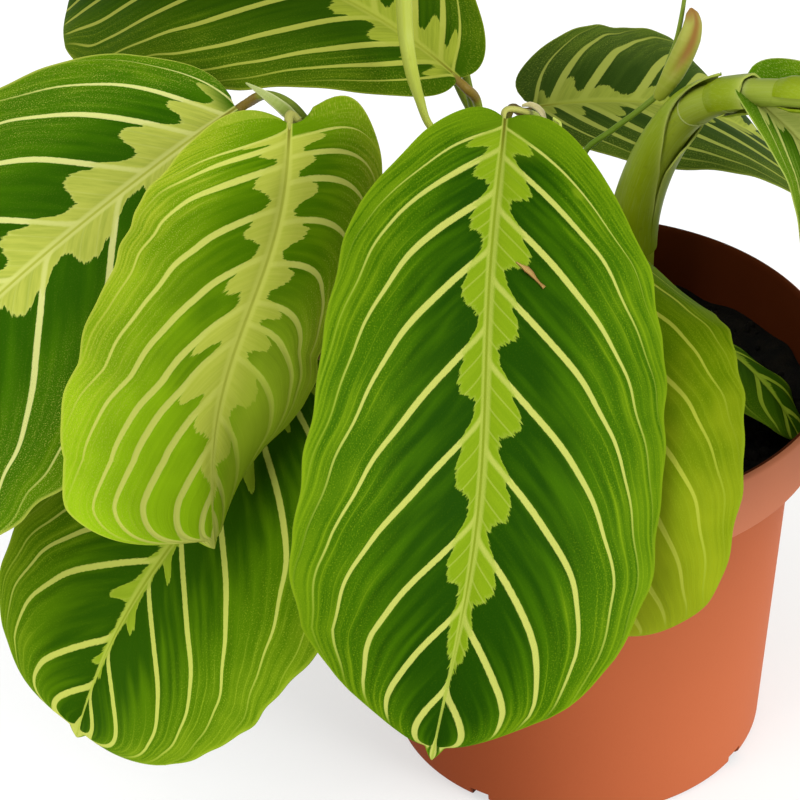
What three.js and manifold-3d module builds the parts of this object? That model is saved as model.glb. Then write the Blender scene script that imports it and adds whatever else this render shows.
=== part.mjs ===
// Potted prayer plant: sixteen arching leaves on five stems in a 12 cm plastic nursery pot.
// Millimetres, +Z up. The origin is the centre of the pot's base, on the surface it stands on.
// The viewer of the plant stands on the -Y side.

import * as THREE from 'three';
import { mergeVertices } from 'three/addons/utils/BufferGeometryUtils.js';
import Module from 'manifold-3d';

const wasm = await Module();
wasm.setup();

// Driving dimensions of the pot
const POT_HEIGHT = 102.5;
const RIM_RADIUS = 60;
const RIM_BAND_HEIGHT = 18.3;
const RIM_BAND_FOOT_RADIUS = 57.6;
const BODY_TOP_RADIUS = 51;
const BASE_RADIUS = 44.3;
const POT_WALL = 2;
const BASE_THICKNESS = 2.4;
const LIP_ROUND = 0.9;
const BASE_CHAMFER = 1;
const BAND_CHAMFER = 0.6;
const POT_SEGMENTS = 48;
const DRAIN_COUNT = 8;
const DRAIN_RADIUS = 4.2;
const DRAIN_CIRCLE = 37;
const DRAIN_FIRST_ANGLE = -120;
const NOTCH_WIDTH = 5;
const NOTCH_HEIGHT = 2.6;
const NOTCH_LENGTH = 20;

// Driving dimensions of the soil
const SOIL_TOP = 88.5;
const SOIL_BUMP = 1.3;
const SOIL_RINGS = 5;
const SOIL_SEGMENTS = 32;
const GAP = 0.3;
const STEM_HOLE_GAP = 0.45;
const STEM_FOOT = 70;
const HOLE_FOOT = 68;

// Driving dimensions shared by the leaves
const BLADE_THICKNESS = 0.8;
const KEEL_AT_BASE = 1.1;
const RIB_PARTS = 60;
const BLADE_STEPS_ALONG = 12;
const BLADE_STEPS_ACROSS = 6;
const BLADE_START = 0.012;
const BLADE_END = 0.985;
const END_CROWDING = 0.6;
const WAVE_HEIGHT = 1.3;
const WAVE_COUNT = 2.6;
const WAVE_SHIFT_RIGHT = 1.9;
const WAVE_SHIFT_LEAF = 1.7;
const TIP_HALF_WIDTH = 0.16;
const TIP_LENGTH = 0.12;
const BODY_END = 0.975;
const LOBE_FADE = 0.06;

// Driving dimensions shared by the leaf stalks, the sheaths and the stems.
// A leaf stalk's radius is given as shares at even steps, with the thick joint near its end.
const PETIOLE_RADIUS = 1.15;
const PETIOLE_SHARES = [1.3, 1, 1, 1, 1, 1.1, 1.4, 1.5, 1.3, 0.8];
const PETIOLE_SIDES = 6;
const PETIOLE_STEPS = 12;
const PETIOLE_BELOW_RIB = 0.5;
const PETIOLE_BEHIND_BLADE = 3;
const PETIOLE_UNDER_BLADE = 5;
const PETIOLE_START = 0.04;
const STEM_SIDES = 8;
const SHEATH_WALL = 1.1;
const SHEATH_LENGTH = 12;

const radians = THREE.MathUtils.degToRad;
const clamp = THREE.MathUtils.clamp;
const lerp = THREE.MathUtils.lerp;

// A closed three.js mesh becomes a solid for joining and cutting
function solidOf(geometry) {
  const bare = geometry.clone();
  bare.deleteAttribute('normal');
  bare.deleteAttribute('uv');
  const merged = mergeVertices(bare, 1e-4);
  const mesh = new wasm.Mesh({
    numProp: 3,
    vertProperties: new Float32Array(merged.attributes.position.array),
    triVerts: new Uint32Array(merged.index.array),
  });
  return new wasm.Manifold(mesh);
}

// The largest body of a solid comes back as a three.js mesh shape, without loose scraps
function geometryOf(solid) {
  const bodies = solid.decompose();
  bodies.sort((a, b) => b.volume() - a.volume());
  const mesh = bodies[0].getMesh();
  const geometry = new THREE.BufferGeometry();
  geometry.setAttribute('position', new THREE.BufferAttribute(mesh.vertProperties, 3));
  geometry.setIndex(new THREE.BufferAttribute(mesh.triVerts, 1));
  geometry.computeVertexNormals();
  return geometry;
}

// Rings of equally many points are skinned into one closed body with a fan at each end
function skinRings(rings) {
  const sides = rings[0].length;
  const points = rings.flat();
  const index = [];
  for (let i = 0; i + 1 < rings.length; i += 1) {
    for (let j = 0; j < sides; j += 1) {
      const a = i * sides + j;
      const b = i * sides + ((j + 1) % sides);
      index.push(a, b, b + sides, a, b + sides, a + sides);
    }
  }
  const last = (rings.length - 1) * sides;
  for (let j = 1; j + 1 < sides; j += 1) {
    index.push(0, j + 1, j);
    index.push(last, last + j, last + j + 1);
  }
  const geometry = new THREE.BufferGeometry().setFromPoints(points);
  geometry.setIndex(index);
  return geometry;
}

// A round tube along a smooth curve, with a radius given at even steps of the curve
function taperedTube(curve, radii, sides, steps, from = 0, to = 1, extra = 0) {
  const frames = curve.computeFrenetFrames(steps, false);
  const rings = [];
  for (let i = 0; i <= steps; i += 1) {
    const share = i / steps;
    if (share < from - 1e-6 || share > to + 1e-6) {
      continue;
    }
    const centre = curve.getPointAt(share);
    const place = share * (radii.length - 1);
    const low = Math.min(Math.floor(place), radii.length - 2);
    const radius = lerp(radii[low], radii[low + 1], place - low) + extra;
    const ring = [];
    for (let j = 0; j < sides; j += 1) {
      const turn = (2 * Math.PI * j) / sides;
      const out = frames.normals[i].clone().multiplyScalar(Math.cos(turn) * radius);
      out.addScaledVector(frames.binormals[i], Math.sin(turn) * radius);
      ring.push(centre.clone().add(out));
    }
    rings.push(ring);
  }
  return skinRings(rings);
}

function curveThrough(points) {
  return new THREE.CatmullRomCurve3(points.map((p) => new THREE.Vector3(...p)), false, 'centripetal');
}

// Stems: points from the foot in the soil to the end, with a radius at even steps
const STEMS = {
  stem_right: {
    points: [[13, 38, STEM_FOOT], [12, 37, 100], [12.5, 36.5, 121], [17, 36, 136], [24, 34, 147],
      [32, 28, 155], [42, 20, 161.5], [56, 10, 167], [76, 2, 173], [99, -6, 180]],
    radii: [5.4, 5.4, 5.4, 5.2, 4.8, 4.2, 3.4, 3.2, 3.0, 2.8, 2.4],
    steps: 20,
  },
  stem_left: {
    points: [[-20, -5, STEM_FOOT], [-23, -7, 100], [-33, -11, 130], [-47, -16, 157], [-56, -19, 173]],
    radii: [3.2, 3.0, 2.8, 2.6, 2.3],
    steps: 10,
  },
  stem_front: {
    points: [[3, -3, STEM_FOOT], [3, -3, 100], [1, -3, 125], [-2, -5, 145], [-5, -9, 160], [-6, -13, 172]],
    radii: [3.2, 3.0, 2.8, 2.5, 2.2],
    steps: 10,
  },
  stem_middle: {
    points: [[-8, 18, STEM_FOOT], [-9, 18, 95], [-13, 17, 120], [-18, 15, 142]],
    radii: [3.2, 3.0, 2.8, 2.4],
    steps: 8,
  },
  stem_back: {
    points: [[-6, 38, STEM_FOOT], [-7, 41, 92], [-11, 47, 108], [-15, 53, 117]],
    radii: [3.2, 3.0, 2.7, 2.3],
    steps: 8,
  },
};

for (const stem of Object.values(STEMS)) {
  stem.curve = curveThrough(stem.points);
}

// The room a stem needs in whatever clasps it or holds it
function stemRoom(stem) {
  const route = stem.points.map((p) => [...p]);
  route[0][2] = HOLE_FOOT;
  const end = stem.curve.getTangentAt(1).multiplyScalar(STEM_HOLE_GAP).toArray();
  const last = route[route.length - 1];
  route[route.length - 1] = last.map((value, k) => value + end[k]);
  const curve = curveThrough(route);
  return solidOf(taperedTube(curve, stem.radii, STEM_SIDES, stem.steps, 0, 1, STEM_HOLE_GAP));
}

// Leaves. A blade starts at its base and runs along its heading, seen from above and turned from +X
// towards +Y, at its pitch above the level, which droops towards the tip. swing turns the whole run
// and bow turns its middle. roll and twist turn the blade about its midrib. Pairs are left and right,
// seen along the heading with the face up: half width, fold at the midrib, curl out to the margin,
// sag of the fold towards the tip, mid, which moves the widest place, full, which rounds
// the ends, and lobes, which draws the base back past the leaf stalk.
const LEAVES = [
  {
    name: 'leaf_front', stem: 'stem_front', node: 1, via: [[-7, -21, 181.5], [-10.5, -27, 186.5]],
    base: [-14, -33, 187], heading: -93, pitch: -27, droop: 48, swing: -40, bow: 20, roll: -10,
    twist: -14, length: 142, half: [43, 45], fold: [3, 22], curl: [-20, -6], sag: [-16, 8],
    mid: [1.02, 1.15], full: [0.45, 0.49], lobes: [0.14, 0.14],
  },
  {
    name: 'leaf_front_left_young', stem: 'stem_left', node: 0.82,
    via: [[-49.5, -23.5, 161], [-54.5, -25.5, 171], [-58, -26, 179.5]],
    base: [-60.4, -29, 182.8], heading: -90, pitch: -33, droop: 36, swing: 8, bow: -36, roll: -4,
    twist: -10, length: 95, half: [35, 35.5], fold: [-10, 20], curl: [-50, -18], sag: [-40, 0],
    mid: [0.76, 1.2], full: [0.44, 0.42], lobes: [0.42, 0.22],
  },
  {
    name: 'leaf_left', stem: 'stem_left', node: 1, via: [[-61, -15, 178.5], [-67, -9.5, 178]],
    base: [-74.5, -5.5, 172.3], heading: -137, pitch: -11, droop: 43, swing: -2, bow: -10, roll: -15,
    twist: 4, length: 145, half: [47, 48], fold: [-6, 10], curl: [-25, -18], sag: [0, 0],
    mid: [1.3, 0.85], full: [0.54, 0.55], lobes: [0.04, 0.12],
  },
  {
    name: 'leaf_back_left', stem: 'stem_middle', node: 1, via: [[-21.3, 15, 153], [-22.5, 13.5, 163]],
    base: [-26.3, 10, 171], heading: 146, pitch: 27, droop: 67, swing: 8, bow: -2, roll: -5,
    twist: -8, length: 120, half: [41, 40], fold: [5, 8], curl: [-24, -20], sag: [0, 0],
    mid: [1.17, 1.06], full: [0.55, 0.55], lobes: [0.19, 0.19],
  },
  {
    name: 'leaf_low_left', stem: 'stem_left', node: 0.4, via: [[-40, -18, 130], [-49, -27, 131]],
    base: [-56.8, -35, 125.5], heading: -125, pitch: -24, droop: 47, swing: -23, bow: -14, roll: -11,
    twist: -2, length: 105, half: [48.5, 38.5], fold: [5, 10], curl: [-20, -19], sag: [10, 11],
    mid: [1.02, 1.26], full: [0.43, 0.36], lobes: [0.17, 0.17],
  },
  {
    name: 'leaf_over_rim', stem: 'stem_front', node: 0.46, via: [[4, -0.5, 127], [6, 1.5, 136]],
    base: [5.6, -5, 141], heading: -108, pitch: 14, droop: 108, swing: 47, bow: 0, roll: -9,
    twist: 70, length: 110, half: [37, 37], fold: [-1, 8], curl: [-32, -20], sag: [6, 0],
    mid: [1.16, 1.08], full: [0.41, 0.5], lobes: [0.08, 0.08],
  },
  {
    name: 'leaf_inside_pot', stem: null,
    via: [[22, 16, STEM_FOOT], [22, 16, 80], [22, 16, 90], [22.5, 16, 97]],
    base: [24.5, 15, 100], heading: -50, pitch: 21, droop: 72, swing: 2, bow: 4, roll: -26,
    twist: 4, length: 45, half: [15, 15], fold: [-1, 8], curl: [-32, -20], sag: [0, 0],
    mid: [1.05, 1.08], full: [0.55, 0.55], lobes: [0.17, 0.17],
  },
  {
    name: 'leaf_back_right', stem: 'stem_back', node: 1, via: [[-18, 62, 124], [-17, 69, 127]],
    base: [-12, 71, 126], heading: 5, pitch: 8, droop: 80, swing: 40, bow: 5, roll: 4,
    twist: 4, length: 95, half: [32, 32], fold: [12, 10], curl: [-14, -17], sag: [0, 0],
    mid: [0.8, 1.0], full: [0.51, 0.52], lobes: [0.2, 0.2],
  },
  {
    name: 'leaf_right', stem: 'stem_right', node: 0.6, via: [[33.5, 29, 161], [35.5, 27, 163]],
    base: [38, 24.5, 159.3], heading: -28, pitch: -29, droop: 30, swing: -4, bow: -24, roll: -6,
    twist: -4, length: 110, half: [36, 35], fold: [17, 23], curl: [-8, -2], sag: [0, 0],
    mid: [0.93, 1.07], full: [0.54, 0.54], lobes: [0.22, 0.22],
  },
  {
    name: 'leaf_right_end', stem: 'stem_right', node: 1, via: [[108, -10, 186], [112, -12, 188]],
    base: [118, -14, 187], heading: -12, pitch: 10, droop: 68, swing: -8, bow: 6, roll: 5,
    twist: 6, length: 120, half: [39, 39], fold: [6, 8], curl: [-20, -22], sag: [0, 0],
    mid: [1.08, 1.02], full: [0.52, 0.5], lobes: [0.17, 0.17],
  },
  {
    name: 'leaf_right_back', stem: 'stem_right', node: 0.72, via: [[57, 17, 169], [66, 27, 177]],
    base: [80, 31, 180], heading: 40, pitch: 8, droop: 66, swing: 12, bow: -5, roll: -6,
    twist: -5, length: 118, half: [38, 39], fold: [8, 7], curl: [-20, -18], sag: [0, 0],
    mid: [1.05, 1.1], full: [0.5, 0.53], lobes: [0.18, 0.18],
  },
  {
    name: 'leaf_right_front', stem: 'stem_right', node: 0.8,
    via: [[66, -1, 171], [75, -10, 175], [85, -21, 177]],
    base: [92, -28, 173], heading: -62, pitch: -12, droop: 52, swing: 10, bow: 8, roll: 6,
    twist: 5, length: 124, half: [40, 39], fold: [7, 9], curl: [-21, -19], sag: [0, 0],
    mid: [1.1, 1.04], full: [0.5, 0.52], lobes: [0.17, 0.17],
  },
  {
    name: 'leaf_top_right', stem: 'stem_right', node: 0.88, via: [[83, 6, 180], [88, 10, 188]],
    base: [88, 18, 196], heading: 128, pitch: 22, droop: 62, swing: -10, bow: 6, roll: 5,
    twist: 6, length: 112, half: [37, 36], fold: [8, 8], curl: [-22, -20], sag: [0, 0],
    mid: [1.06, 1.12], full: [0.54, 0.5], lobes: [0.19, 0.19],
  },
  {
    name: 'leaf_top_left', stem: 'stem_middle', node: 0.78,
    via: [[-20, 23, 142], [-25, 35, 151], [-31, 60, 170], [-35, 76, 186]],
    base: [-39, 86, 192], heading: -178, pitch: 26, droop: 60, swing: 8, bow: -6, roll: 2,
    twist: -4, length: 110, half: [36, 37], fold: [8, 8], curl: [-20, -22], sag: [0, 0],
    mid: [1.1, 1.05], full: [0.52, 0.54], lobes: [0.18, 0.18],
  },
  {
    name: 'leaf_back', stem: 'stem_back', node: 0.6, via: [[-14, 55, 109], [-20, 70, 111]],
    base: [-24, 79, 104], heading: 118, pitch: -30, droop: 42, swing: 8, bow: 6, roll: 5,
    twist: 4, length: 100, half: [31, 31], fold: [9, 8], curl: [-19, -21], sag: [0, 0],
    mid: [1.04, 1.1], full: [0.55, 0.51], lobes: [0.18, 0.18],
  },
  {
    name: 'leaf_back_far_left', stem: 'stem_middle', node: 0.5,
    via: [[-20, 33, 137], [-27, 40, 148], [-38, 55, 165]],
    base: [-50, 61, 168], heading: 138, pitch: 12, droop: 60, swing: 10, bow: -6, roll: -6,
    twist: -4, length: 112, half: [37, 38], fold: [7, 8], curl: [-21, -20], sag: [0, 0],
    mid: [1.08, 1.06], full: [0.53, 0.52], lobes: [0.18, 0.18],
  },
];

// Share of the half width at a share s of the blade's length, with a short pointed tip
function bladeProfile(s, mid, full) {
  const arch = Math.sin(Math.PI * Math.min(s / BODY_END, 1) ** mid);
  const body = Math.max(arch, 0) ** full;
  const tip = TIP_HALF_WIDTH * clamp((1 - s) / TIP_LENGTH, 0, 1) * clamp((s - 0.5) / 0.2, 0, 1);
  return Math.hypot(body, tip);
}

function alongAt(leaf, s) {
  const heading = radians(leaf.heading + leaf.swing * s + leaf.bow * Math.sin(Math.PI * s) ** 2);
  const pitch = radians(leaf.pitch - leaf.droop * s);
  const level = Math.cos(pitch);
  const along = new THREE.Vector3(Math.cos(heading) * level, Math.sin(heading) * level, Math.sin(pitch));
  const levelSide = new THREE.Vector3(-Math.sin(heading), Math.cos(heading), 0);
  return { along, levelSide };
}

// The midrib's place and the blade's own axes at a share s of its length
function midribAt(leaf, s) {
  const point = new THREE.Vector3(...leaf.base);
  for (let k = 0; k < RIB_PARTS; k += 1) {
    const { along } = alongAt(leaf, (s * (k + 0.5)) / RIB_PARTS);
    point.addScaledVector(along, (s * leaf.length) / RIB_PARTS);
  }
  const { along, levelSide } = alongAt(leaf, s);
  const up = along.clone().cross(levelSide);
  const roll = radians(leaf.roll + leaf.twist * s);
  const side = levelSide.clone().multiplyScalar(Math.cos(roll)).addScaledVector(up, Math.sin(roll));
  const face = up.clone().multiplyScalar(Math.cos(roll)).addScaledVector(levelSide, -Math.sin(roll));
  return { point, along, side, face };
}

// A point of the blade's middle surface, with the direction that it faces there.
// v runs from -1 on the right margin to 1 on the left one.
function bladeAt(leaf, rib, s, v) {
  const k = v > 0 ? 0 : 1;
  const sign = Math.sign(v);
  const out = Math.abs(v);
  const share = bladeProfile(s, leaf.mid[k], leaf.full[k]);
  const reach = leaf.half[k] * share;
  const start = radians(leaf.fold[k] + leaf.sag[k] * s);
  const curl = radians(leaf.curl[k]);
  const slope = start + curl * out;
  const across = ((Math.sin(slope) - Math.sin(start)) / curl) * reach * sign;
  const lift = ((Math.cos(start) - Math.cos(slope)) / curl) * reach;
  const shift = leaf.phase + (sign > 0 ? 0 : WAVE_SHIFT_RIGHT);
  const ripple = Math.sin(2 * Math.PI * WAVE_COUNT * s + shift);
  const wave = WAVE_HEIGHT * out * out * share * ripple;
  const back = -leaf.lobes[k] * share * Math.exp(-s / LOBE_FADE) * out * out * leaf.length;
  const point = rib.point.clone();
  point.addScaledVector(rib.side, across);
  point.addScaledVector(rib.face, lift + wave);
  point.addScaledVector(rib.along, back);
  const facing = rib.face.clone().multiplyScalar(Math.cos(slope));
  facing.addScaledVector(rib.side, -Math.sin(slope) * sign);
  return { point, facing };
}

// The blade as a closed sheet: both faces are split into triangles alike, with a keel under the rib
function bladeGeometry(leaf) {
  const top = [];
  const bottom = [];
  for (let i = 0; i <= BLADE_STEPS_ALONG; i += 1) {
    const u = i / BLADE_STEPS_ALONG;
    const eased = lerp(u, 0.5 - 0.5 * Math.cos(Math.PI * u), END_CROWDING);
    const s = lerp(BLADE_START, BLADE_END, eased);
    const rib = midribAt(leaf, s);
    for (let j = 0; j <= BLADE_STEPS_ACROSS; j += 1) {
      const v = (2 * j) / BLADE_STEPS_ACROSS - 1;
      const { point, facing } = bladeAt(leaf, rib, s, v);
      const keel = v === 0 ? BLADE_THICKNESS * (KEEL_AT_BASE - s) : 0;
      top.push(point.clone().addScaledVector(facing, BLADE_THICKNESS / 2));
      bottom.push(point.clone().addScaledVector(facing, -BLADE_THICKNESS / 2 - keel));
    }
  }
  const row = BLADE_STEPS_ACROSS + 1;
  const count = top.length;
  const index = [];
  for (let i = 0; i < BLADE_STEPS_ALONG; i += 1) {
    for (let j = 0; j < BLADE_STEPS_ACROSS; j += 1) {
      const a = i * row + j;
      const b = a + 1;
      const c = a + row;
      const d = c + 1;
      index.push(a, c, d, a, d, b);
      index.push(count + a, count + d, count + c, count + a, count + b, count + d);
    }
  }
  const edge = [];
  for (let j = 0; j < BLADE_STEPS_ACROSS; j += 1) {
    edge.push(j);
  }
  for (let i = 0; i < BLADE_STEPS_ALONG; i += 1) {
    edge.push(i * row + BLADE_STEPS_ACROSS);
  }
  for (let j = BLADE_STEPS_ACROSS; j > 0; j -= 1) {
    edge.push(BLADE_STEPS_ALONG * row + j);
  }
  for (let i = BLADE_STEPS_ALONG; i > 0; i -= 1) {
    edge.push(i * row);
  }
  for (let k = 0; k < edge.length; k += 1) {
    const a = edge[k];
    const b = edge[(k + 1) % edge.length];
    index.push(a, b, count + b, a, count + b, count + a);
  }
  const geometry = new THREE.BufferGeometry().setFromPoints([...top, ...bottom]);
  geometry.setIndex(index);
  return geometry;
}

// The leaf stalk: out of the sheath, thicker where it bends over at the end, and into the rib
function petioleGeometry(leaf, start) {
  const rib = midribAt(leaf, 0);
  const base = rib.point.clone().addScaledVector(rib.face, -PETIOLE_BELOW_RIB);
  const behind = base.clone().addScaledVector(rib.along, -PETIOLE_BEHIND_BLADE);
  const inside = base.clone().addScaledVector(rib.along, PETIOLE_UNDER_BLADE);
  const points = [...start, ...leaf.via, behind.toArray(), inside.toArray()];
  const radii = PETIOLE_SHARES.map((share) => share * PETIOLE_RADIUS);
  return taperedTube(curveThrough(points), radii, PETIOLE_SIDES, PETIOLE_STEPS);
}

// The sheath: a short sleeve round the stem below the place where the leaf stalk leaves it
function sheathGeometry(stem, node) {
  const length = stem.curve.getLength();
  const from = Math.max(node - SHEATH_LENGTH / length, 0);
  const points = [0, 0.33, 0.67, 1].map((share) => stem.curve.getPointAt(lerp(from, node, share)).toArray());
  const radiusAt = (share) => {
    const place = share * (stem.radii.length - 1);
    const low = Math.min(Math.floor(place), stem.radii.length - 2);
    return lerp(stem.radii[low], stem.radii[low + 1], place - low);
  };
  const room = STEM_HOLE_GAP + SHEATH_WALL;
  const radii = [from, (from + node) / 2, node].map((share) => radiusAt(share) + room);
  return taperedTube(curveThrough(points), radii, STEM_SIDES, 4);
}

function leafSolid(leaf) {
  let solid = solidOf(bladeGeometry(leaf));
  if (leaf.stem === null) {
    return solid.add(solidOf(petioleGeometry(leaf, [])));
  }
  const stem = STEMS[leaf.stem];
  const below = stem.curve.getPointAt(Math.max(leaf.node - PETIOLE_START, 0)).toArray();
  solid = solid.add(solidOf(petioleGeometry(leaf, [below])));
  solid = solid.add(solidOf(sheathGeometry(stem, leaf.node)));
  return solid.subtract(stemRoom(stem));
}

// Pot: a thin moulded wall with a deeper band round the rim, turned about its axis
function potSolid() {
  const bandFoot = POT_HEIGHT - RIM_BAND_HEIGHT;
  const inner = (outer) => outer - POT_WALL;
  const profile = [
    [0, 0], [BASE_RADIUS - BASE_CHAMFER, 0], [BASE_RADIUS, BASE_CHAMFER],
    [BODY_TOP_RADIUS, bandFoot], [RIM_BAND_FOOT_RADIUS - BAND_CHAMFER, bandFoot],
    [RIM_BAND_FOOT_RADIUS, bandFoot + BAND_CHAMFER], [RIM_RADIUS, POT_HEIGHT - LIP_ROUND],
    [RIM_RADIUS - LIP_ROUND, POT_HEIGHT], [inner(RIM_RADIUS) + LIP_ROUND / 2, POT_HEIGHT],
    [inner(RIM_RADIUS), POT_HEIGHT - LIP_ROUND], [inner(RIM_BAND_FOOT_RADIUS), bandFoot + POT_WALL],
    [inner(BODY_TOP_RADIUS), bandFoot + POT_WALL], [inner(BASE_RADIUS), BASE_THICKNESS],
    [0, BASE_THICKNESS],
  ];
  const turned = new THREE.LatheGeometry(profile.map((p) => new THREE.Vector2(...p)), POT_SEGMENTS);
  turned.rotateX(Math.PI / 2);
  let pot = solidOf(turned);
  for (let k = 0; k < DRAIN_COUNT; k += 1) {
    const turn = radians(DRAIN_FIRST_ANGLE + (360 / DRAIN_COUNT) * k);
    const hole = new THREE.CylinderGeometry(DRAIN_RADIUS, DRAIN_RADIUS, 4 * BASE_THICKNESS, 12);
    hole.rotateX(Math.PI / 2);
    hole.translate(DRAIN_CIRCLE * Math.cos(turn), DRAIN_CIRCLE * Math.sin(turn), 0);
    pot = pot.subtract(solidOf(hole));
    const notch = new THREE.BoxGeometry(NOTCH_LENGTH, NOTCH_WIDTH, 2 * NOTCH_HEIGHT);
    notch.translate(DRAIN_CIRCLE + NOTCH_LENGTH / 2, 0, 0);
    notch.rotateZ(turn);
    pot = pot.subtract(solidOf(notch));
  }
  return pot;
}

function bump(x, y) {
  return SOIL_BUMP * (Math.sin(x * 0.31 + 1.3 * Math.sin(y * 0.17)) * Math.cos(y * 0.27) - 0.4);
}

// Soil: it fills the pot up to the band and its top is lumpy
function soilSolid() {
  const bandFoot = POT_HEIGHT - RIM_BAND_HEIGHT;
  const topRadius = RIM_BAND_FOOT_RADIUS - POT_WALL - 2 * GAP;
  const bodyRadius = BODY_TOP_RADIUS - POT_WALL - 2 * GAP;
  const ledge = bandFoot + POT_WALL + GAP;
  const profile = [[0, BASE_THICKNESS + GAP], [BASE_RADIUS - POT_WALL - 2 * GAP, BASE_THICKNESS + GAP]];
  profile.push([bodyRadius, ledge], [topRadius, ledge]);
  for (let k = 0; k < SOIL_RINGS; k += 1) {
    profile.push([topRadius * (1 - k / SOIL_RINGS), SOIL_TOP]);
  }
  profile.push([0, SOIL_TOP]);
  const turned = new THREE.LatheGeometry(profile.map((p) => new THREE.Vector2(...p)), SOIL_SEGMENTS);
  turned.rotateX(Math.PI / 2);
  const place = turned.attributes.position;
  for (let k = 0; k < place.count; k += 1) {
    if (place.getZ(k) > SOIL_TOP - GAP) {
      place.setZ(k, SOIL_TOP + bump(place.getX(k), place.getY(k)));
    }
  }
  let soil = solidOf(turned);
  for (const stem of Object.values(STEMS)) {
    soil = soil.subtract(stemRoom(stem));
  }
  const shoot = LEAVES.find((leaf) => leaf.stem === null);
  const [x, y] = shoot.via[0];
  const holeRadius = PETIOLE_RADIUS * PETIOLE_SHARES[0] + STEM_HOLE_GAP;
  const depth = SOIL_TOP - HOLE_FOOT;
  const hole = new THREE.CylinderGeometry(holeRadius, holeRadius, 2 * depth, STEM_SIDES);
  hole.rotateX(Math.PI / 2);
  hole.translate(x, y, HOLE_FOOT + depth);
  return soil.subtract(solidOf(hole));
}

// Flower stalks: a thin stalk that widens into folded bracts
const FLOWER_STALKS = [
  {
    name: 'flower_stalk_front', stem: 'stem_front', node: 0.76,
    points: [[-10, -9, 160], [-22, -12, 167], [-31, -11, 171], [-34, -5, 175], [-36, 2, 180],
      [-37, 7, 188], [-38, 10, 202], [-39, 12, 216]],
    radii: [0.8, 0.8, 0.8, 0.9, 1.5, 1.7, 1.9, 1.6, 1.0, 0.5],
  },
  {
    name: 'flower_stalk_back', stem: 'stem_right', node: 0.36,
    points: [[6, 36, 134], [7, 38.5, 139.5], [14, 38, 146], [18.3, 37.5, 151], [23, 40, 156], [27, 43, 161],
      [26, 46, 166], [25, 49, 174]],
    radii: [0.8, 0.7, 0.7, 0.7, 1.2, 2.2, 2.4, 1.2, 0.6, 0.5],
  },
];

function flowerStalkSolid(stalk) {
  const stem = STEMS[stalk.stem];
  const start = stem.curve.getPointAt(stalk.node).toArray();
  const curve = curveThrough([start, ...stalk.points]);
  return solidOf(taperedTube(curve, stalk.radii, PETIOLE_SIDES, 16)).subtract(stemRoom(stem));
}

function surface(colour, roughness) {
  return new THREE.MeshStandardMaterial({ color: colour, roughness, metalness: 0 });
}

const POT_LOOK = surface('#c4683f', 0.5);
const SOIL_LOOK = surface('#1b120c', 0.95);
const STEM_LOOK = surface('#7d8f3c', 0.5);
const LEAF_LOOK = surface('#4c8a12', 0.4);
const YOUNG_LEAF_LOOK = surface('#86b52a', 0.4);
const FLOWER_STALK_LOOK = surface('#b4bd4a', 0.5);

const plant = new THREE.Group();

function addPiece(name, geometry, look) {
  const piece = new THREE.Mesh(geometry, look);
  piece.name = name;
  plant.add(piece);
}

addPiece('pot', geometryOf(potSolid()), POT_LOOK);
addPiece('soil', geometryOf(soilSolid()), SOIL_LOOK);
for (const [name, stem] of Object.entries(STEMS)) {
  addPiece(name, taperedTube(stem.curve, stem.radii, STEM_SIDES, stem.steps), STEM_LOOK);
}
LEAVES.forEach((leaf, k) => {
  leaf.phase = WAVE_SHIFT_LEAF * k;
  const young = leaf.name.endsWith('young') || leaf.name === 'leaf_over_rim';
  addPiece(leaf.name, geometryOf(leafSolid(leaf)), young ? YOUNG_LEAF_LOOK : LEAF_LOOK);
});
for (const stalk of FLOWER_STALKS) {
  addPiece(stalk.name, geometryOf(flowerStalkSolid(stalk)), FLOWER_STALK_LOOK);
}

export default plant;
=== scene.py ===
# %% [markdown]
# # A potted prayer plant
#
# A prayer plant has broad, patterned leaves on short stalks. The stalks leave a few thick canes that
# grow out of dark peat in a thin plastic nursery pot. This lesson dresses the packed model, piece by
# piece: the pot, the peat, the canes, sixteen leaves and two flower stalks.
#
# The packed model comes first, as a fixed frame. Every piece made here rides on its one body, stands
# for one of its nodes and keeps to the size of that node.

# %% Load the packed model
import math

import bmesh
import bpy
import numpy as np
from mathutils import Matrix, Vector, noise


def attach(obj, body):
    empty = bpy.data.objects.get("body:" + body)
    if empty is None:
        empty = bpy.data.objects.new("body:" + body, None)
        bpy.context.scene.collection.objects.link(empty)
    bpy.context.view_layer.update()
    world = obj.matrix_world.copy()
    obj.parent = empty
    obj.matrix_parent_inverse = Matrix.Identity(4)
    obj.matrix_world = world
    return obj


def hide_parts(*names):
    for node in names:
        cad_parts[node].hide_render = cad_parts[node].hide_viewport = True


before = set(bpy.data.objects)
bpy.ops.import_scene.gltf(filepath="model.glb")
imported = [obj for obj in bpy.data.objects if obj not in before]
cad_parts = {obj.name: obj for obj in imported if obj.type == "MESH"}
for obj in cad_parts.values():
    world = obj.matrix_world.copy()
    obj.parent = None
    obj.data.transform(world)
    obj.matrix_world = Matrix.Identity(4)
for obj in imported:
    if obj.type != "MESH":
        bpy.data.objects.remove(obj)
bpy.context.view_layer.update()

scene = bpy.context.scene
scene.view_settings.view_transform = "Standard"
MM = 0.001
print("nodes in the packed model:", len(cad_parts))

# %% [markdown]
# ## Camera, floor and light
#
# The plant is seen from the front, a little to the right, and from well above, through a long lens.
# The floor is a pale sheet, lit as on a light table, so the shadow under the plant stays faint. One
# large soft lamp from the right gives the pot its lighter side, with painted light and shade in its
# plastic, and the pale sky fills in the rest.
#
# The camera's place, in millimetres, and its three turns could be tried out by eye. They were worked
# out instead from three circles of the pot: its rim, the foot of its band and its base.

# %% Set up the camera
CAMERA_PLACE = (19, -757, 633)


def turned(degrees, axis):
    """A turn round one axis."""
    return Matrix.Rotation(math.radians(degrees), 4, axis)


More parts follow.
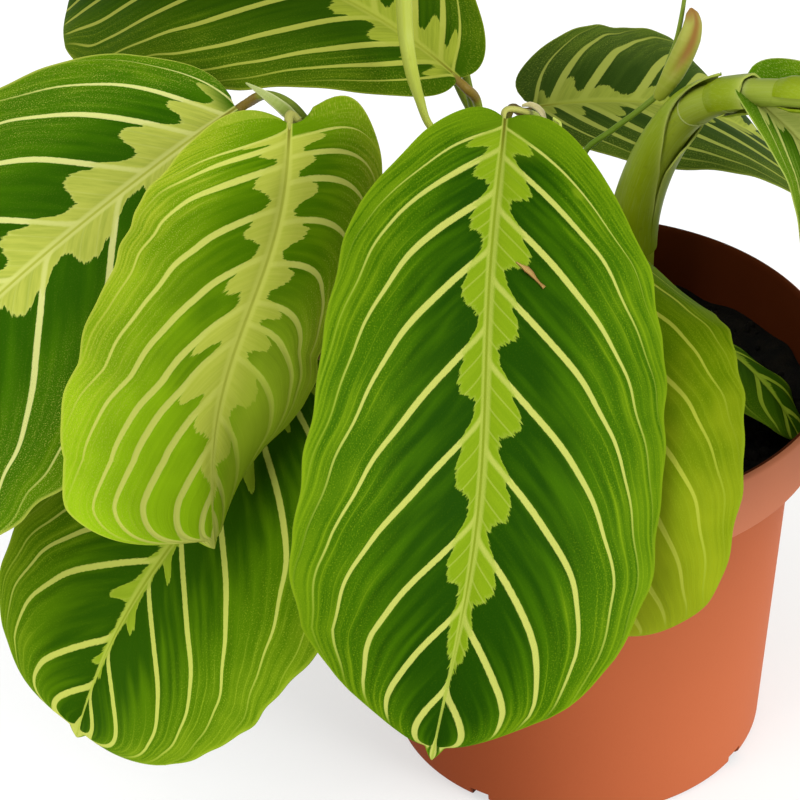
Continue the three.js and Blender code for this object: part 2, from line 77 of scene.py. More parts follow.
lens = bpy.data.cameras.new("camera")
lens.lens = 180
lens.sensor_width = 36
lens.clip_start = 0.05
camera = bpy.data.objects.new("camera", lens)
scene.collection.objects.link(camera)
stand = Matrix.Translation([value * MM for value in CAMERA_PLACE])
camera.matrix_world = stand @ turned(4.53, "Z") @ turned(54.4, "X") @ turned(-1.94, "Z")
scene.camera = camera
print("camera looks along", [round(value, 3) for value in -camera.matrix_world.col[2].xyz])

# %% [markdown]
# ## Words for finishes
#
# Each finish is a material made of nodes. A leaf's pattern takes dozens of them, and wiring each by
# hand would hide the idea, so this class gives short words for the few kinds that are used: sums,
# soft steps from one value to another, mixes of two colours, and noise.
#
# Colours are given as on a paint card, and then divided by the light that falls on the surface. So a
# surface shows its card's colour under these lamps, and no colour has to be guessed for the light.

# %% Mix colours as on a paint card
def paint(red, green, blue):
    """A colour given as on a paint card, from 0 to 255, as the shader wants it."""
    share = np.array([red, green, blue]) / 255
    linear = np.where(share <= 0.04045, share / 12.92, ((share + 0.055) / 1.055) ** 2.4)
    return (*[float(value) for value in linear], 1.0)


# How much more light than white paint needs to look white falls on a usual place of the plant
LIGHT = 1.6


def seen(red, green, blue, gain=1.0):
    """The colour that looks as on this card under the lamps, or under gain times as much light."""
    return (*[value / LIGHT / gain for value in paint(red, green, blue)[:3]], 1.0)


print("a mid green card as seen:", [round(value, 3) for value in seen(60, 106, 2)])


# %% Give short words to a material's nodes
class Finish:
    """A material, with short words for the nodes that it is made of."""

    def __init__(self, name, roughness=0.5):
        self.material = bpy.data.materials.new(name)
        self.material.use_nodes = True
        self.tree = self.material.node_tree
        self.shader = self.tree.nodes["Principled BSDF"]
        self.shader.inputs["Roughness"].default_value = roughness

    def feed(self, socket, value):
        """Link a socket to the node that gives its value, or set it to a plain value."""
        if isinstance(value, bpy.types.NodeSocket):
            self.tree.links.new(value, socket)
        elif value is not None:
            socket.default_value = value

    def node(self, kind, *inputs, **settings):
        """A new node with these settings, its first sockets fed in order."""
        new = self.tree.nodes.new("ShaderNode" + kind)
        for setting, value in settings.items():
            setattr(new, setting, value)
        for socket, value in zip(new.inputs, inputs):
            self.feed(socket, value)
        return new

    def maths(self, operation, *inputs):
        return self.node("Math", *inputs, operation=operation).outputs[0]

    def add(self, first, second):
        return self.maths("ADD", first, second)

    def times(self, first, second):
        return self.maths("MULTIPLY", first, second)

    def swing(self, value, size):
        """A value that lies around a half, made to lie around 0 and this much wider."""
        return self.times(self.add(value, -0.5), size)

    def soft_step(self, value, low, high, start=0.0, end=1.0):
        """From start where value is low to end where it is high, with a smooth bend between."""
        new = self.node("MapRange", value, low, high, start, end, interpolation_type="SMOOTHSTEP")
        return new.outputs[0]

    def mix(self, share, under, over):
        """The colour under where share is 0, and the colour over it where share is 1."""
        new = self.node("Mix", data_type="RGBA")
        self.feed(new.inputs[0], share)
        self.feed(new.inputs[6], under)
        self.feed(new.inputs[7], over)
        return new.outputs[2]

    def vector(self, *parts):
        return self.node("CombineXYZ", *parts).outputs[0]

    def split(self, vector):
        return self.node("SeparateXYZ", vector).outputs

    def read(self, name):
        """Three numbers that the mesh carries under this name."""
        return self.node("Attribute", attribute_name=name).outputs["Vector"]

    def position(self):
        return self.node("NewGeometry").outputs["Position"]

    def noise(self, place, size, detail, rough=0.5):
        new = self.node("TexNoise", noise_dimensions="3D")
        self.feed(new.inputs["Vector"], place)
        new.inputs["Scale"].default_value = size
        new.inputs["Detail"].default_value = detail
        new.inputs["Roughness"].default_value = rough
        return new.outputs["Fac"]

    def colour(self, colour):
        self.feed(self.shader.inputs["Base Color"], colour)

    def shine(self, level):
        """How strongly the surface mirrors, where a half is usual for plastic."""
        self.shader.inputs["Specular IOR Level"].default_value = level

    def gloss(self, value, low, high):
        """Roughness that moves between low and high as value goes from 0 to 1."""
        new = self.node("MapRange", value, 0.0, 1.0, low, high)
        self.feed(self.shader.inputs["Roughness"], new.outputs[0])

    def relief(self, height, depth_mm, strength):
        """Small bumps, as deep as depth_mm where height goes from 0 to 1."""
        new = self.node("Bump")
        new.inputs["Strength"].default_value = strength
        new.inputs["Distance"].default_value = depth_mm * MM
        self.feed(new.inputs["Height"], height)
        self.feed(self.shader.inputs["Normal"], new.outputs["Normal"])


print("short words:", ", ".join(word for word in vars(Finish) if word[0] != "_"))

# %% Lay the floor
FLOOR_HEIGHT = -0.0004
FLOOR_GLOW = 0.53
floor_finish = Finish("pale_floor", 0.9)
grain = floor_finish.noise(floor_finish.position(), 60.0, 4.0)
floor_finish.colour(floor_finish.mix(grain, paint(176, 176, 175), paint(181, 181, 180)))
floor_finish.shader.inputs["Emission Color"].default_value = (1.0, 1.0, 1.0, 1.0)
floor_finish.shader.inputs["Emission Strength"].default_value = FLOOR_GLOW
floor_mesh = bpy.data.meshes.new("floor")
corners = [(x, y, FLOOR_HEIGHT) for x, y in ((-3, -3), (3, -3), (3, 4), (-3, 4))]
floor_mesh.from_pydata(corners, [], [(0, 1, 2, 3)])
floor_mesh.materials.append(floor_finish.material)
floor = bpy.data.objects.new("floor", floor_mesh)
scene.collection.objects.link(floor)
print("floor", [round(value, 2) for value in floor.dimensions])

# %% Light the plant
PLANT_MIDDLE = Vector((0, 0, 0.12))
sky = bpy.data.worlds.new("sky")
sky.use_nodes = True
background = sky.node_tree.nodes["Background"]
background.inputs["Color"].default_value = (0.95, 0.97, 1.0, 1.0)
background.inputs["Strength"].default_value = 0.8
scene.world = sky


def hang_lamp(name, place, size, power):
    """A round soft lamp that faces the middle of the plant."""
    lamp = bpy.data.lights.new(name, "AREA")
    lamp.shape = "DISK"
    lamp.size = size
    lamp.energy = power
    hung = bpy.data.objects.new(name, lamp)
    scene.collection.objects.link(hung)
    hung.location = place
    hung.rotation_euler = (PLANT_MIDDLE - hung.location).to_track_quat("-Z", "Y").to_euler()


hang_lamp("main_lamp", (2.0, -1.0, 0.75), 1.4, 68)
hang_lamp("high_lamp", (-0.7, -0.9, 1.9), 1.6, 18)
hang_lamp("front_lamp", (-1.4, -1.7, 0.8), 1.5, 24)
print("lamps:", len(bpy.data.lights))

# %% [markdown]
# ## Routes and tubes
#
# Canes and stalks are round tubes along smooth curves. A curve object would do, but it gives no say
# over swellings, flat places and open sleeves. So a curve is drawn through a few points, measured,
# and rings are laid along it, each turned as little as can be against the one before. A route's
# points are in millimetres, as the model's own measures are.

# %% Draw a smooth route
def unit(vectors):
    """The same directions, each as long as 1."""
    return vectors / np.linalg.norm(vectors, axis=-1, keepdims=True)


class Route:
    """A smooth curve through points, read by the share of its length."""

    def __init__(self, points):
        points = [np.array(point, float) for point in points]
        points = [2 * points[0] - points[1], *points, 2 * points[-1] - points[-2]]
        shares = np.linspace(0, 1, 41)[:-1, None]
        pieces = []
        for a, b, c, d in zip(points, points[1:], points[2:], points[3:]):
            ab, bc, cd = (math.sqrt(np.linalg.norm(q - p)) for p, q in ((a, b), (b, c), (c, d)))
            start = ((b - a) / ab - (c - a) / (ab + bc) + (c - b) / bc) * bc
            end = ((c - b) / bc - (d - b) / (bc + cd) + (d - c) / cd) * bc
            cubic = 2 * b - 2 * c + start + end
            square = -3 * b + 3 * c - 2 * start - end
            pieces.append(((cubic * shares + square) * shares + start) * shares + b)
        self.points = np.vstack([*pieces, points[-2]])
        steps = np.linalg.norm(np.diff(self.points, axis=0), axis=1)
        self.marks = np.concatenate([[0], np.cumsum(steps)])
        self.length = self.marks[-1]

    def at(self, shares):
        places = np.asarray(shares, float) * self.length
        return np.stack([np.interp(places, self.marks, self.points[:, k]) for k in range(3)], -1)

    def frames(self, shares):
        """Centres, directions, and two vectors across each direction."""
        shares = np.asarray(shares)
        centres = self.at(shares)
        ahead, behind = self.at(np.minimum(shares + 1e-3, 1)), self.at(np.maximum(shares - 1e-3, 0))
        along = unit(ahead - behind)
        across = [unit(np.cross(along[0], [0.3, 1.0, 0.2]))]
        for direction in along[1:]:
            across.append(unit(across[-1] - direction * np.dot(across[-1], direction)))
        across = np.array(across)
        return centres, along, across, np.cross(along, across)


trial = Route([(0, 0, 0), (10, 0, 5), (20, 5, 5)])
print("a trial route is", round(trial.length, 2), "mm long")


# %% Lay rings along a route
def round_turns(count):
    """So many even turns round a circle."""
    return np.linspace(0, 2 * math.pi, count, endpoint=False)


def spokes(turns, across, over):
    """For every row of two vectors across a route, the directions at these turns round it."""
    return np.cos(turns)[..., None] * across[:, None] + np.sin(turns)[..., None] * over[:, None]


def tube(route, shares, radii, sides, wobble=None):
    """Rings of points round a route, with a radius for each share of its length."""
    centres, _, across, over = route.frames(shares)
    turns = round_turns(sides)[None, :]
    radius = np.asarray(radii, float)[:, None] * np.ones((1, sides))
    if wobble:
        radius = radius * wobble(np.asarray(shares)[:, None], turns)
    return centres[:, None] + spokes(turns, across, over) * radius[..., None]


def skin(rings):
    """Quads over a stack of rings, with a cap at each end."""
    count, sides = rings.shape[:2]
    faces = []
    for i in range(count - 1):
        for j in range(sides):
            a, b = i * sides + j, i * sides + (j + 1) % sides
            faces.append((a, b, b + sides, a + sides))
    faces.append(tuple(range(sides - 1, -1, -1)))
    faces.append(tuple(range((count - 1) * sides, count * sides)))
    return rings.reshape(-1, 3), faces


def rounded_end(shares, radii, length):
    """More rings at the far end, so a tube closes as a dome and not as a flat cut."""
    bend = np.linspace(0, 1, 6)[:-1]
    dome = radii[-1] * (np.sqrt(1 - (1 - bend) ** 2) * 0.97 + 0.03)
    gap = radii[-1] / length
    kept = shares < shares[-1] - gap
    ends = shares[-1] - bend[::-1] * gap
    return np.concatenate([shares[kept], ends]), np.concatenate([radii[kept], dome[::-1]])


trial_rings = tube(trial, np.linspace(0, 1, 5), np.ones(5), 8)
print("a trial tube has", len(skin(trial_rings)[1]), "faces")

# %% Make a piece from points and faces
pieces = []


def make_piece(name, solid, finish, node, slot, sharp=50, **marks):
    """A mesh in millimetres becomes a piece that rides on the plant and stands for a node."""
    points, faces = solid
    mesh = bpy.data.meshes.new(name)
    mesh.from_pydata((np.asarray(points) * MM).tolist(), [], [tuple(map(int, face)) for face in faces])
    for mark, values in marks.items():
        domain = "POINT" if len(values) == len(points) else "CORNER"
        layer = mesh.attributes.new(mark, "FLOAT_VECTOR", domain)
        layer.data.foreach_set("vector", np.asarray(values, np.float32).ravel())
    mesh.materials.append(finish.material)
    mesh.shade_smooth()
    mesh.set_sharp_from_angle(angle=math.radians(sharp))
    piece = bpy.data.objects.new(name, mesh)
    scene.collection.objects.link(piece)
    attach(piece, "root")
    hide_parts(node)
    pieces.append(piece)
    return piece


print("pieces so far:", len(pieces))

# %% [markdown]
# ## The leaves in numbers
#
# No two leaves are alike, but all have the same plan. So each is a row of numbers, and one function
# draws them all. Stem and node say which cane a stalk leaves and at what share of its length, and via
# and base are points of the stalk and the foot of the blade. Heading, pitch and roll aim the blade at
# its foot, in degrees. Droop, swing, bow and twist turn it further on the way to its tip.
#
# Length and half are in millimetres. Where two numbers stand together, the first is for the left
# half and the second for the right one. Fold, curl and sag bend a half down from the rib, mid and
# full shape its outline, and lobes is how far it runs back past the stalk.

# %% The leaves in their own numbers
LEAVES = {
    "leaf_front": dict(
        stem="stem_front", node=1, via=((-7, -21, 179.8), (-9.6, -27, 184.9)), base=(-14, -33, 187),
        heading=-93, pitch=-27, droop=48, swing=-40, bow=20, roll=-10, twist=-14, length=142,
        half=(43, 45), fold=(3, 22), curl=(-20, -6), sag=(-16, 8), mid=(1.02, 1.15), full=(0.45, 0.49),
        lobes=(0.14, 0.14), stalk=0.68),
    "leaf_front_left_young": dict(
        stem="stem_left", node=0.82, via=((-49.5, -23.5, 161), (-54.5, -25.5, 171), (-58, -26, 179.5)),
        base=(-60.4, -29, 182.8), heading=-90, pitch=-33, droop=36, swing=8, bow=-36, roll=-4, twist=-10,
        length=95, half=(35, 35.5), fold=(-6.8, 19.6), curl=(-47.3, -17.4), sag=(-42, -3.4), mid=(0.76, 1.2),
        full=(0.44, 0.42), lobes=(0.38, 0.24)),
    "leaf_left": dict(
        stem="stem_left", node=1, via=((-61, -15, 178.5), (-67, -9.5, 178)), base=(-74.5, -5.5, 172.3),
        heading=-137, pitch=-11, droop=43, swing=-2, bow=-10, roll=-15, twist=4, length=145,
        half=(47, 48), fold=(-6, 10), curl=(-25, -18), sag=(0, 0), mid=(1.3, 0.85), full=(0.54, 0.55),
        lobes=(0.04, 0.12)),
    "leaf_back_left": dict(
        stem="stem_middle", node=1, via=((-21.3, 15, 153), (-22.5, 13.5, 163)), base=(-26.3, 10, 171),
        heading=146, pitch=27, droop=67, swing=8, bow=-2, roll=-5, twist=-8, length=120, half=(41, 40),
        fold=(5, 8), curl=(-24, -20), sag=(0, 0), mid=(1.17, 1.06), full=(0.55, 0.55),
        lobes=(0.19, 0.19)),
    "leaf_low_left": dict(
        stem="stem_left", node=0.4, via=((-40, -18, 130), (-49, -27, 131)), base=(-56.8, -35, 125.5),
        heading=-125, pitch=-24, droop=47, swing=-23, bow=-14, roll=-11, twist=-2, length=105,
        half=(48.5, 38.5), fold=(5, 10), curl=(-20, -19), sag=(10, 11), mid=(1.02, 1.26),
        full=(0.43, 0.36), lobes=(0.17, 0.17)),
    "leaf_over_rim": dict(
        stem="stem_front", node=0.46, via=((4, -0.5, 127), (6, 1.5, 136)), base=(5.6, -5, 141),
        heading=-108, pitch=14, droop=108, swing=47, bow=0, roll=-9, twist=70, length=110, half=(37, 37),
        fold=(-1, 8), curl=(-32, -20), sag=(6, 0), mid=(1.16, 1.08), full=(0.41, 0.5),
        lobes=(0.08, 0.08)),
    "leaf_inside_pot": dict(
        stem=None, via=((22, 16, 70), (22, 16, 80), (22, 16, 90), (22.5, 16, 97)), base=(24.5, 15, 100),
        heading=-50, pitch=21, droop=72, swing=2, bow=4, roll=-26, twist=4, length=45, half=(15, 15),
        fold=(-1, 8), curl=(-32, -20), sag=(0, 0), mid=(1.05, 1.08), full=(0.55, 0.55),
        lobes=(0.17, 0.17)),
    "leaf_back_right": dict(
        stem="stem_back", node=1, via=((-18, 62, 124), (-17, 69, 127)), base=(-12, 71, 126), heading=5,
        pitch=8, droop=80, swing=40, bow=5, roll=4, twist=4, length=95, half=(32, 32), fold=(12, 10),
        curl=(-14, -17), sag=(0, 0), mid=(0.8, 1.0), full=(0.51, 0.52), lobes=(0.2, 0.2)),
    "leaf_right": dict(
        stem="stem_right", node=0.6, via=((35, 27.5, 158.5), (36.5, 26, 160)), base=(38, 24.5, 159.3),
        heading=-28, pitch=-29, droop=30, swing=-4, bow=-24, roll=-6, twist=-4, length=110,
        half=(36, 35), fold=(17, 23), curl=(-8, -2), sag=(0, 0), mid=(0.93, 1.07), full=(0.54, 0.54),
        lobes=(0.22, 0.22)),
    "leaf_right_end": dict(
        stem="stem_right", node=1, via=((108, -10, 186), (112, -12, 188)), base=(118, -14, 187),
        heading=-12, pitch=10, droop=68, swing=-8, bow=6, roll=5, twist=6, length=120, half=(39, 39),
        fold=(6, 8), curl=(-20, -22), sag=(0, 0), mid=(1.08, 1.02), full=(0.52, 0.5), lobes=(0.17, 0.17)),
    "leaf_right_back": dict(
        stem="stem_right", node=0.72, via=((58, 16, 167), (67, 27, 173)), base=(80, 31, 180), heading=40,
        pitch=8, droop=66, swing=12, bow=-5, roll=-6, twist=-5, length=118, half=(38, 39), fold=(8, 7),
        curl=(-20, -18), sag=(0, 0), mid=(1.05, 1.1), full=(0.5, 0.53), lobes=(0.18, 0.18)),
    "leaf_right_front": dict(
        stem="stem_right", node=0.8, via=((66, -1, 171), (75, -10, 175), (85, -21, 177)),
        base=(92, -28, 173), heading=-62, pitch=-12, droop=52, swing=10, bow=8, roll=6, twist=5,
        length=124, half=(40, 39), fold=(7, 9), curl=(-21, -19), sag=(0, 0), mid=(1.1, 1.04),
        full=(0.5, 0.52), lobes=(0.17, 0.17)),
    "leaf_top_right": dict(
        stem="stem_right", node=0.88, via=((83, 6, 180), (88, 10, 188)), base=(88, 18, 196), heading=128,
        pitch=22, droop=62, swing=-10, bow=6, roll=5, twist=6, length=112, half=(37, 36), fold=(8, 8),
        curl=(-22, -20), sag=(0, 0), mid=(1.06, 1.12), full=(0.54, 0.5), lobes=(0.19, 0.19)),
    "leaf_top_left": dict(
        stem="stem_middle", node=0.78,
        via=((-20, 23, 142), (-25, 35, 151), (-31, 60, 170), (-35, 76, 186)), base=(-39, 86, 192),
        heading=-178, pitch=26, droop=60, swing=8, bow=-6, roll=2, twist=-4, length=110, half=(36, 37),
        fold=(8, 8), curl=(-20, -22), sag=(0, 0), mid=(1.1, 1.05), full=(0.52, 0.54), lobes=(0.18, 0.18)),
    "leaf_back": dict(
        stem="stem_back", node=0.6, via=((-14, 55, 109), (-20, 70, 111)), base=(-24, 79, 104),
        heading=118, pitch=-30, droop=42, swing=8, bow=6, roll=5, twist=4, length=100, half=(31, 31),
        fold=(9, 8), curl=(-19, -21), sag=(0, 0), mid=(1.04, 1.1), full=(0.55, 0.51), lobes=(0.18, 0.18)),
    "leaf_back_far_left": dict(
        stem="stem_middle", node=0.5, via=((-20, 33, 137), (-27, 40, 148), (-38, 55, 165)),
        base=(-50, 61, 168), heading=138, pitch=12, droop=60, swing=10, bow=-6, roll=-6, twist=-4,
        length=112, half=(37, 38), fold=(7, 8), curl=(-21, -20), sag=(0, 0), mid=(1.08, 1.06),
        full=(0.53, 0.52), lobes=(0.18, 0.18)),
}

# How much wider or narrower than the plain shape the margin runs, at these places along the rib
MARGIN_AT = (0, 0.08, 0.2, 0.35, 0.5, 0.65, 0.8, 0.9, 0.96, 1)
MARGINS = {
    "leaf_front": ((0.88, 0.97, 1.04, 1.02, 1.0, 1.02, 1.01, 0.94, 0.76, 0.7),
                   (0.87, 0.94, 0.99, 0.95, 0.95, 0.97, 0.94, 0.8, 0.66, 0.66)),
    "leaf_front_left_young": ((1.08, 0.97, 0.77, 0.59, 0.59, 0.78, 0.99, 1.08, 1.11, 1.13),
                              (1.29, 1.19, 1.06, 0.95, 0.91, 0.9, 1.06, 1.35, 1.53, 1.63)),
    "leaf_left": ((1.03, 1.01, 0.99, 0.97, 0.93, 0.88, 0.86, 0.89, 0.93, 0.98),
                  (0.97, 1.03, 0.98, 0.96, 0.97, 0.97, 0.98, 0.99, 1.0, 1.01)),
    "leaf_low_left": ((1.02, 1.03, 1.03, 1.03, 1.01, 0.99, 0.98, 0.96, 0.92, 0.89),
                      (1.01, 0.99, 0.97, 0.95, 0.94, 0.94, 0.98, 0.99, 1.03, 1.08)),
    "leaf_over_rim": ((1.11, 1.11, 1.09, 1.06, 1.03, 1.04, 1.06, 1.08, 1.06, 1.03),
                      (1.0, 1.0, 1.0, 1.0, 1.0, 1.0, 1.0, 1.0, 1.0, 1.0)),
}
for name, pair in MARGINS.items():
    LEAVES[name]["margin"] = pair
print("leaves:", len(LEAVES), "and with a margin of their own:", len(MARGINS))

# %% [markdown]
# ## The blade of a leaf
#
# A blade is a sheet that bends along its rib and curls away on both sides of it. A cloth simulation
# would give a limp leaf, and sculpting sixteen of them by hand would lose their sizes. So each blade
# is drawn from its own few numbers: s runs along the rib from 0 at the stalk to 1 at the tip, and v
# runs across from -1 at the right margin to 1 at the left one.

# %% Follow the rib and its own axes
def clip(value):
    """The value, kept between 0 and 1."""
    return np.clip(value, 0, 1)


def ease(value, low, high):
    """0 below low, 1 above high and a smooth bend between them."""
    share = clip((value - low) / (high - low))
    return share * share * (3 - 2 * share)


def rib_axes(leaf, s):
    """The way along the rib, the way to the left, and the way that the upper side faces."""
    heading = np.radians(leaf["heading"] + leaf["swing"] * s + leaf["bow"] * np.sin(np.pi * s) ** 2)
    pitch = np.radians(leaf["pitch"] - leaf["droop"] * s)
    flat = np.cos(pitch)
    along = np.stack([np.cos(heading) * flat, np.sin(heading) * flat, np.sin(pitch)], -1)
    level = np.stack([-np.sin(heading), np.cos(heading), 0 * heading], -1)
    up = np.cross(along, level)
    roll = np.radians(leaf["roll"] + leaf["twist"] * s)[..., None]
    return along, level * np.cos(roll) + up * np.sin(roll), up * np.cos(roll) - level * np.sin(roll)


RIB_STEPS = 400


def rib_points(leaf, s):
    """Points of the rib, added up from many short steps along it."""
    middles = (np.arange(RIB_STEPS) + 0.5) / RIB_STEPS
    steps = rib_axes(leaf, middles)[0] * leaf["length"] / RIB_STEPS
    marks = np.vstack([[0, 0, 0], np.cumsum(steps, axis=0)])
    grid = np.linspace(0, 1, RIB_STEPS + 1)
    return np.array(leaf["base"]) + np.stack([np.interp(s, grid, marks[:, k]) for k in range(3)], -1)


print("tip of the front leaf:", np.round(rib_points(LEAVES["leaf_front"], 1.0)))


# %% Give the blade its width, folds and curls
def width_share(s, mid, full):
    """The outline of a half: a rounded body that ends in a short tip."""
    body = np.maximum(np.sin(np.pi * np.minimum(s / 0.975, 1) ** mid), 0) ** full
    tip = 0.25 * clip((1 - s) / 0.12) ** 0.8 * clip((s - 0.5) / 0.2)
    return np.hypot(body, tip)


def blade_sheet(leaf, s, v):
    """The middle of the sheet, the way it faces, and the half width, for grids of s and v."""
    left = v > 0

    def pick(key):
        return np.where(left, *leaf[key])

    share = width_share(s, pick("mid"), pick("full"))
    reach = pick("half") * share
    if "margin" in leaf:
        reach = reach * np.where(left, *[np.interp(s, MARGIN_AT, side) for side in leaf["margin"]])
    phase = leaf["phase"] + np.where(left, 0, 1.9)
    ripple = 0.007 * np.sin(39 * s + 3 * phase) + 0.006 * np.sin(67 * s + 5 * phase)
    reach = reach * (1 + ripple)
    start = np.radians(pick("fold") + pick("sag") * s)
    curl = np.radians(pick("curl"))
    slope = start + curl * np.abs(v)
    across = (np.sin(slope) - np.sin(start)) / curl * reach * np.sign(v)
    lift = (np.cos(start) - np.cos(slope)) / curl * reach
    wave = 1.3 * v * v * share * np.sin(2 * np.pi * 2.6 * s + phase)
    back = -pick("lobes") * share * np.exp(-s / 0.06) * v * v * leaf["length"]
    along, side, face = rib_axes(leaf, s)
    sheet = rib_points(leaf, s) + side * across[..., None] + face * (lift + wave)[..., None]
    facing = face * np.cos(slope)[..., None] - side * (np.sin(slope) * np.sign(v))[..., None]
    return sheet + along * back[..., None], facing, reach


for order, leaf in enumerate(LEAVES.values()):
    leaf["phase"] = 1.7 * order
widest = max(2 * max(leaf["half"]) for leaf in LEAVES.values())
print("the widest leaf is about", widest, "mm wide")

# %% [markdown]
# ## Where the side veins run
#
# Side veins leave the rib at a sharp angle, sweep forward and run almost along the margin. Drawing
# them one by one as curves would leave the spaces between them without any order, and the leaf's
# whole pattern hangs on that order. So every point of a blade gets a vein number instead: it is
# whole on a vein and goes from one whole number to the next between two veins. Each leaf only says
# where its veins leave the rib, on the right half and on the left.
#
# Most leaves share one path from the rib to the margin. The young leaf's veins rise more steeply on
# its right half and arch on its left one, and those of the low left leaf hook in at the tip.

# %% Say where the veins start
VEIN_STARTS = {
    "leaf_front": ((0.01, 0.046, 0.114, 0.205, 0.325, 0.455, 0.605, 0.735, 0.87),
                   (0.012, 0.058, 0.14, 0.25, 0.375, 0.505, 0.635, 0.755, 0.88)),
    "leaf_front_left_young": ((0.01, 0.04, 0.1, 0.205, 0.316, 0.428, 0.51, 0.618, 0.75, 0.87),
                              (0.039, 0.086, 0.149, 0.244, 0.34, 0.427, 0.476, 0.552, 0.691, 0.82)),
    "leaf_left": ((-0.02, 0.02, 0.075, 0.17, 0.3, 0.43, 0.56, 0.69, 0.82),
                  (0.02, 0.1, 0.22, 0.36, 0.48, 0.6, 0.72, 0.84)),
    "leaf_back_left": ((0.01, 0.04, 0.1, 0.195, 0.31, 0.43, 0.55, 0.68, 0.8),
                       (0.0, 0.035, 0.09, 0.185, 0.3, 0.43, 0.56, 0.69, 0.82)),
    "leaf_low_left": ((0.02, 0.09, 0.19, 0.31, 0.42, 0.53, 0.735, 0.86),
                      (0.02, 0.09, 0.19, 0.335, 0.455, 0.575, 0.765, 0.88)),
    "leaf_over_rim": ((0.01, 0.04, 0.11, 0.21, 0.33, 0.45, 0.57, 0.69, 0.81),
                      (0.015, 0.06, 0.152, 0.28, 0.418, 0.55, 0.68, 0.8)),
    "leaf_inside_pot": ((0.03, 0.15, 0.33, 0.55, 0.78), (0.03, 0.15, 0.33, 0.55, 0.78)),
    "leaf_back_right": ((0.01, 0.047, 0.11, 0.21, 0.33, 0.46, 0.6, 0.72, 0.84),
                        (0.0, 0.04, 0.115, 0.252, 0.38, 0.51, 0.64, 0.78)),
}
USUAL_STARTS = ((0.01, 0.04, 0.11, 0.21, 0.33, 0.45, 0.57, 0.69, 0.81),
                (0.02, 0.06, 0.13, 0.24, 0.35, 0.47, 0.59, 0.71, 0.83))
PATHS = {"leaf_front_left_young": ("steep", "arched"), "leaf_low_left": ("hooked", "hooked")}
print("leaves with vein starts of their own:", len(VEIN_STARTS))

# %% Number the veins
LONG_WAY = np.linspace(0, 1.4, 1401)
SWEEP = (0.04 + 0.27 * (1 - np.exp(-LONG_WAY / 0.17))) * (1 - 0.35 * ease(LONG_WAY, 0.75, 0.92))
SWEPT = np.concatenate([[0], np.cumsum(0.001 / (0.5 * (SWEEP[1:] + SWEEP[:-1])))])


def swept(s):
    """A measure along the rib in which all veins of a usual leaf run alike."""
    return np.where(s > 0, np.interp(s, LONG_WAY, SWEPT), s / 0.04)


def vein_numbers(starts, s, out, path="usual"):
    """The vein number for places s along the rib and out towards the margin."""
    if path == "steep":
        level = swept(s - (0.145 + 0.389 * ease(s, 0.1, 0.7)) * out - 0.036 * out ** 5)
    elif path == "arched":
        level = swept(s) + (0.77 - 3.2 * s ** 2) * out
        level = level - (1.02 - 1.6 * s) * out ** 2 - (0.14 + 1.2 * s) * out ** 5
    else:
        bend = 0.12 if path == "hooked" else 0.6
        out = out * clip(np.cos(np.pi / 2 * clip((s - 0.84) / 0.175))) ** bend
        level = swept(s) - out - 0.9 * out ** 5 - 0.04 * (1 - np.exp(-out / 0.02))
    marks = swept(np.array(starts))
    first, last = marks[1] - marks[0], marks[-1] - marks[-2]
    marks = np.concatenate([[marks[0] - 6 * first], marks, [marks[-1] + 6 * last]])
    return np.interp(level, marks, [-6, *range(len(starts)), len(starts) + 5])


def pace_over(sheet, number):
    """How fast the vein number changes over each millimetre of the sheet."""
    down, side = np.gradient(number)
    along, across = np.gradient(sheet, axis=(0, 1))
    a, b, c = (along ** 2).sum(-1), (along * across).sum(-1), (across ** 2).sum(-1)
    steepness = c * down ** 2 - 2 * b * down * side + a * side ** 2
    return np.maximum(np.sqrt(steepness / np.maximum(a * c - b * b, 1e-5)), 0.03)


halfway = vein_numbers(USUAL_STARTS[0], 0.5, 0.5)
print("usual leaf, halfway out in the middle: vein", round(float(halfway), 2))

# %% [markdown]
# ## The look of a leaf
#
# The pattern of a prayer plant leaf has four parts. Crisp pale veins run out from the rib. A feathery
# pale zone lies along the rib, deep in the middle between two veins and short beside each. Dark
# panels fill the space beyond it, and the margin is lighter. A painted picture would need a flat
# layout of each blade, so the pattern is worked out at every point, from the vein number and from
# the distance to the rib in millimetres. Each leaf has its own colours, as its age and light differ.
#
# A look gives the colours as on a paint card, and gain, the share of the light that the leaf gets.
# Zone_mm is the depth of the pale zone. Fine, lines and wide say how clear the fine lines are, how
# clear the small veins of the zone are, and how wide the side veins are.

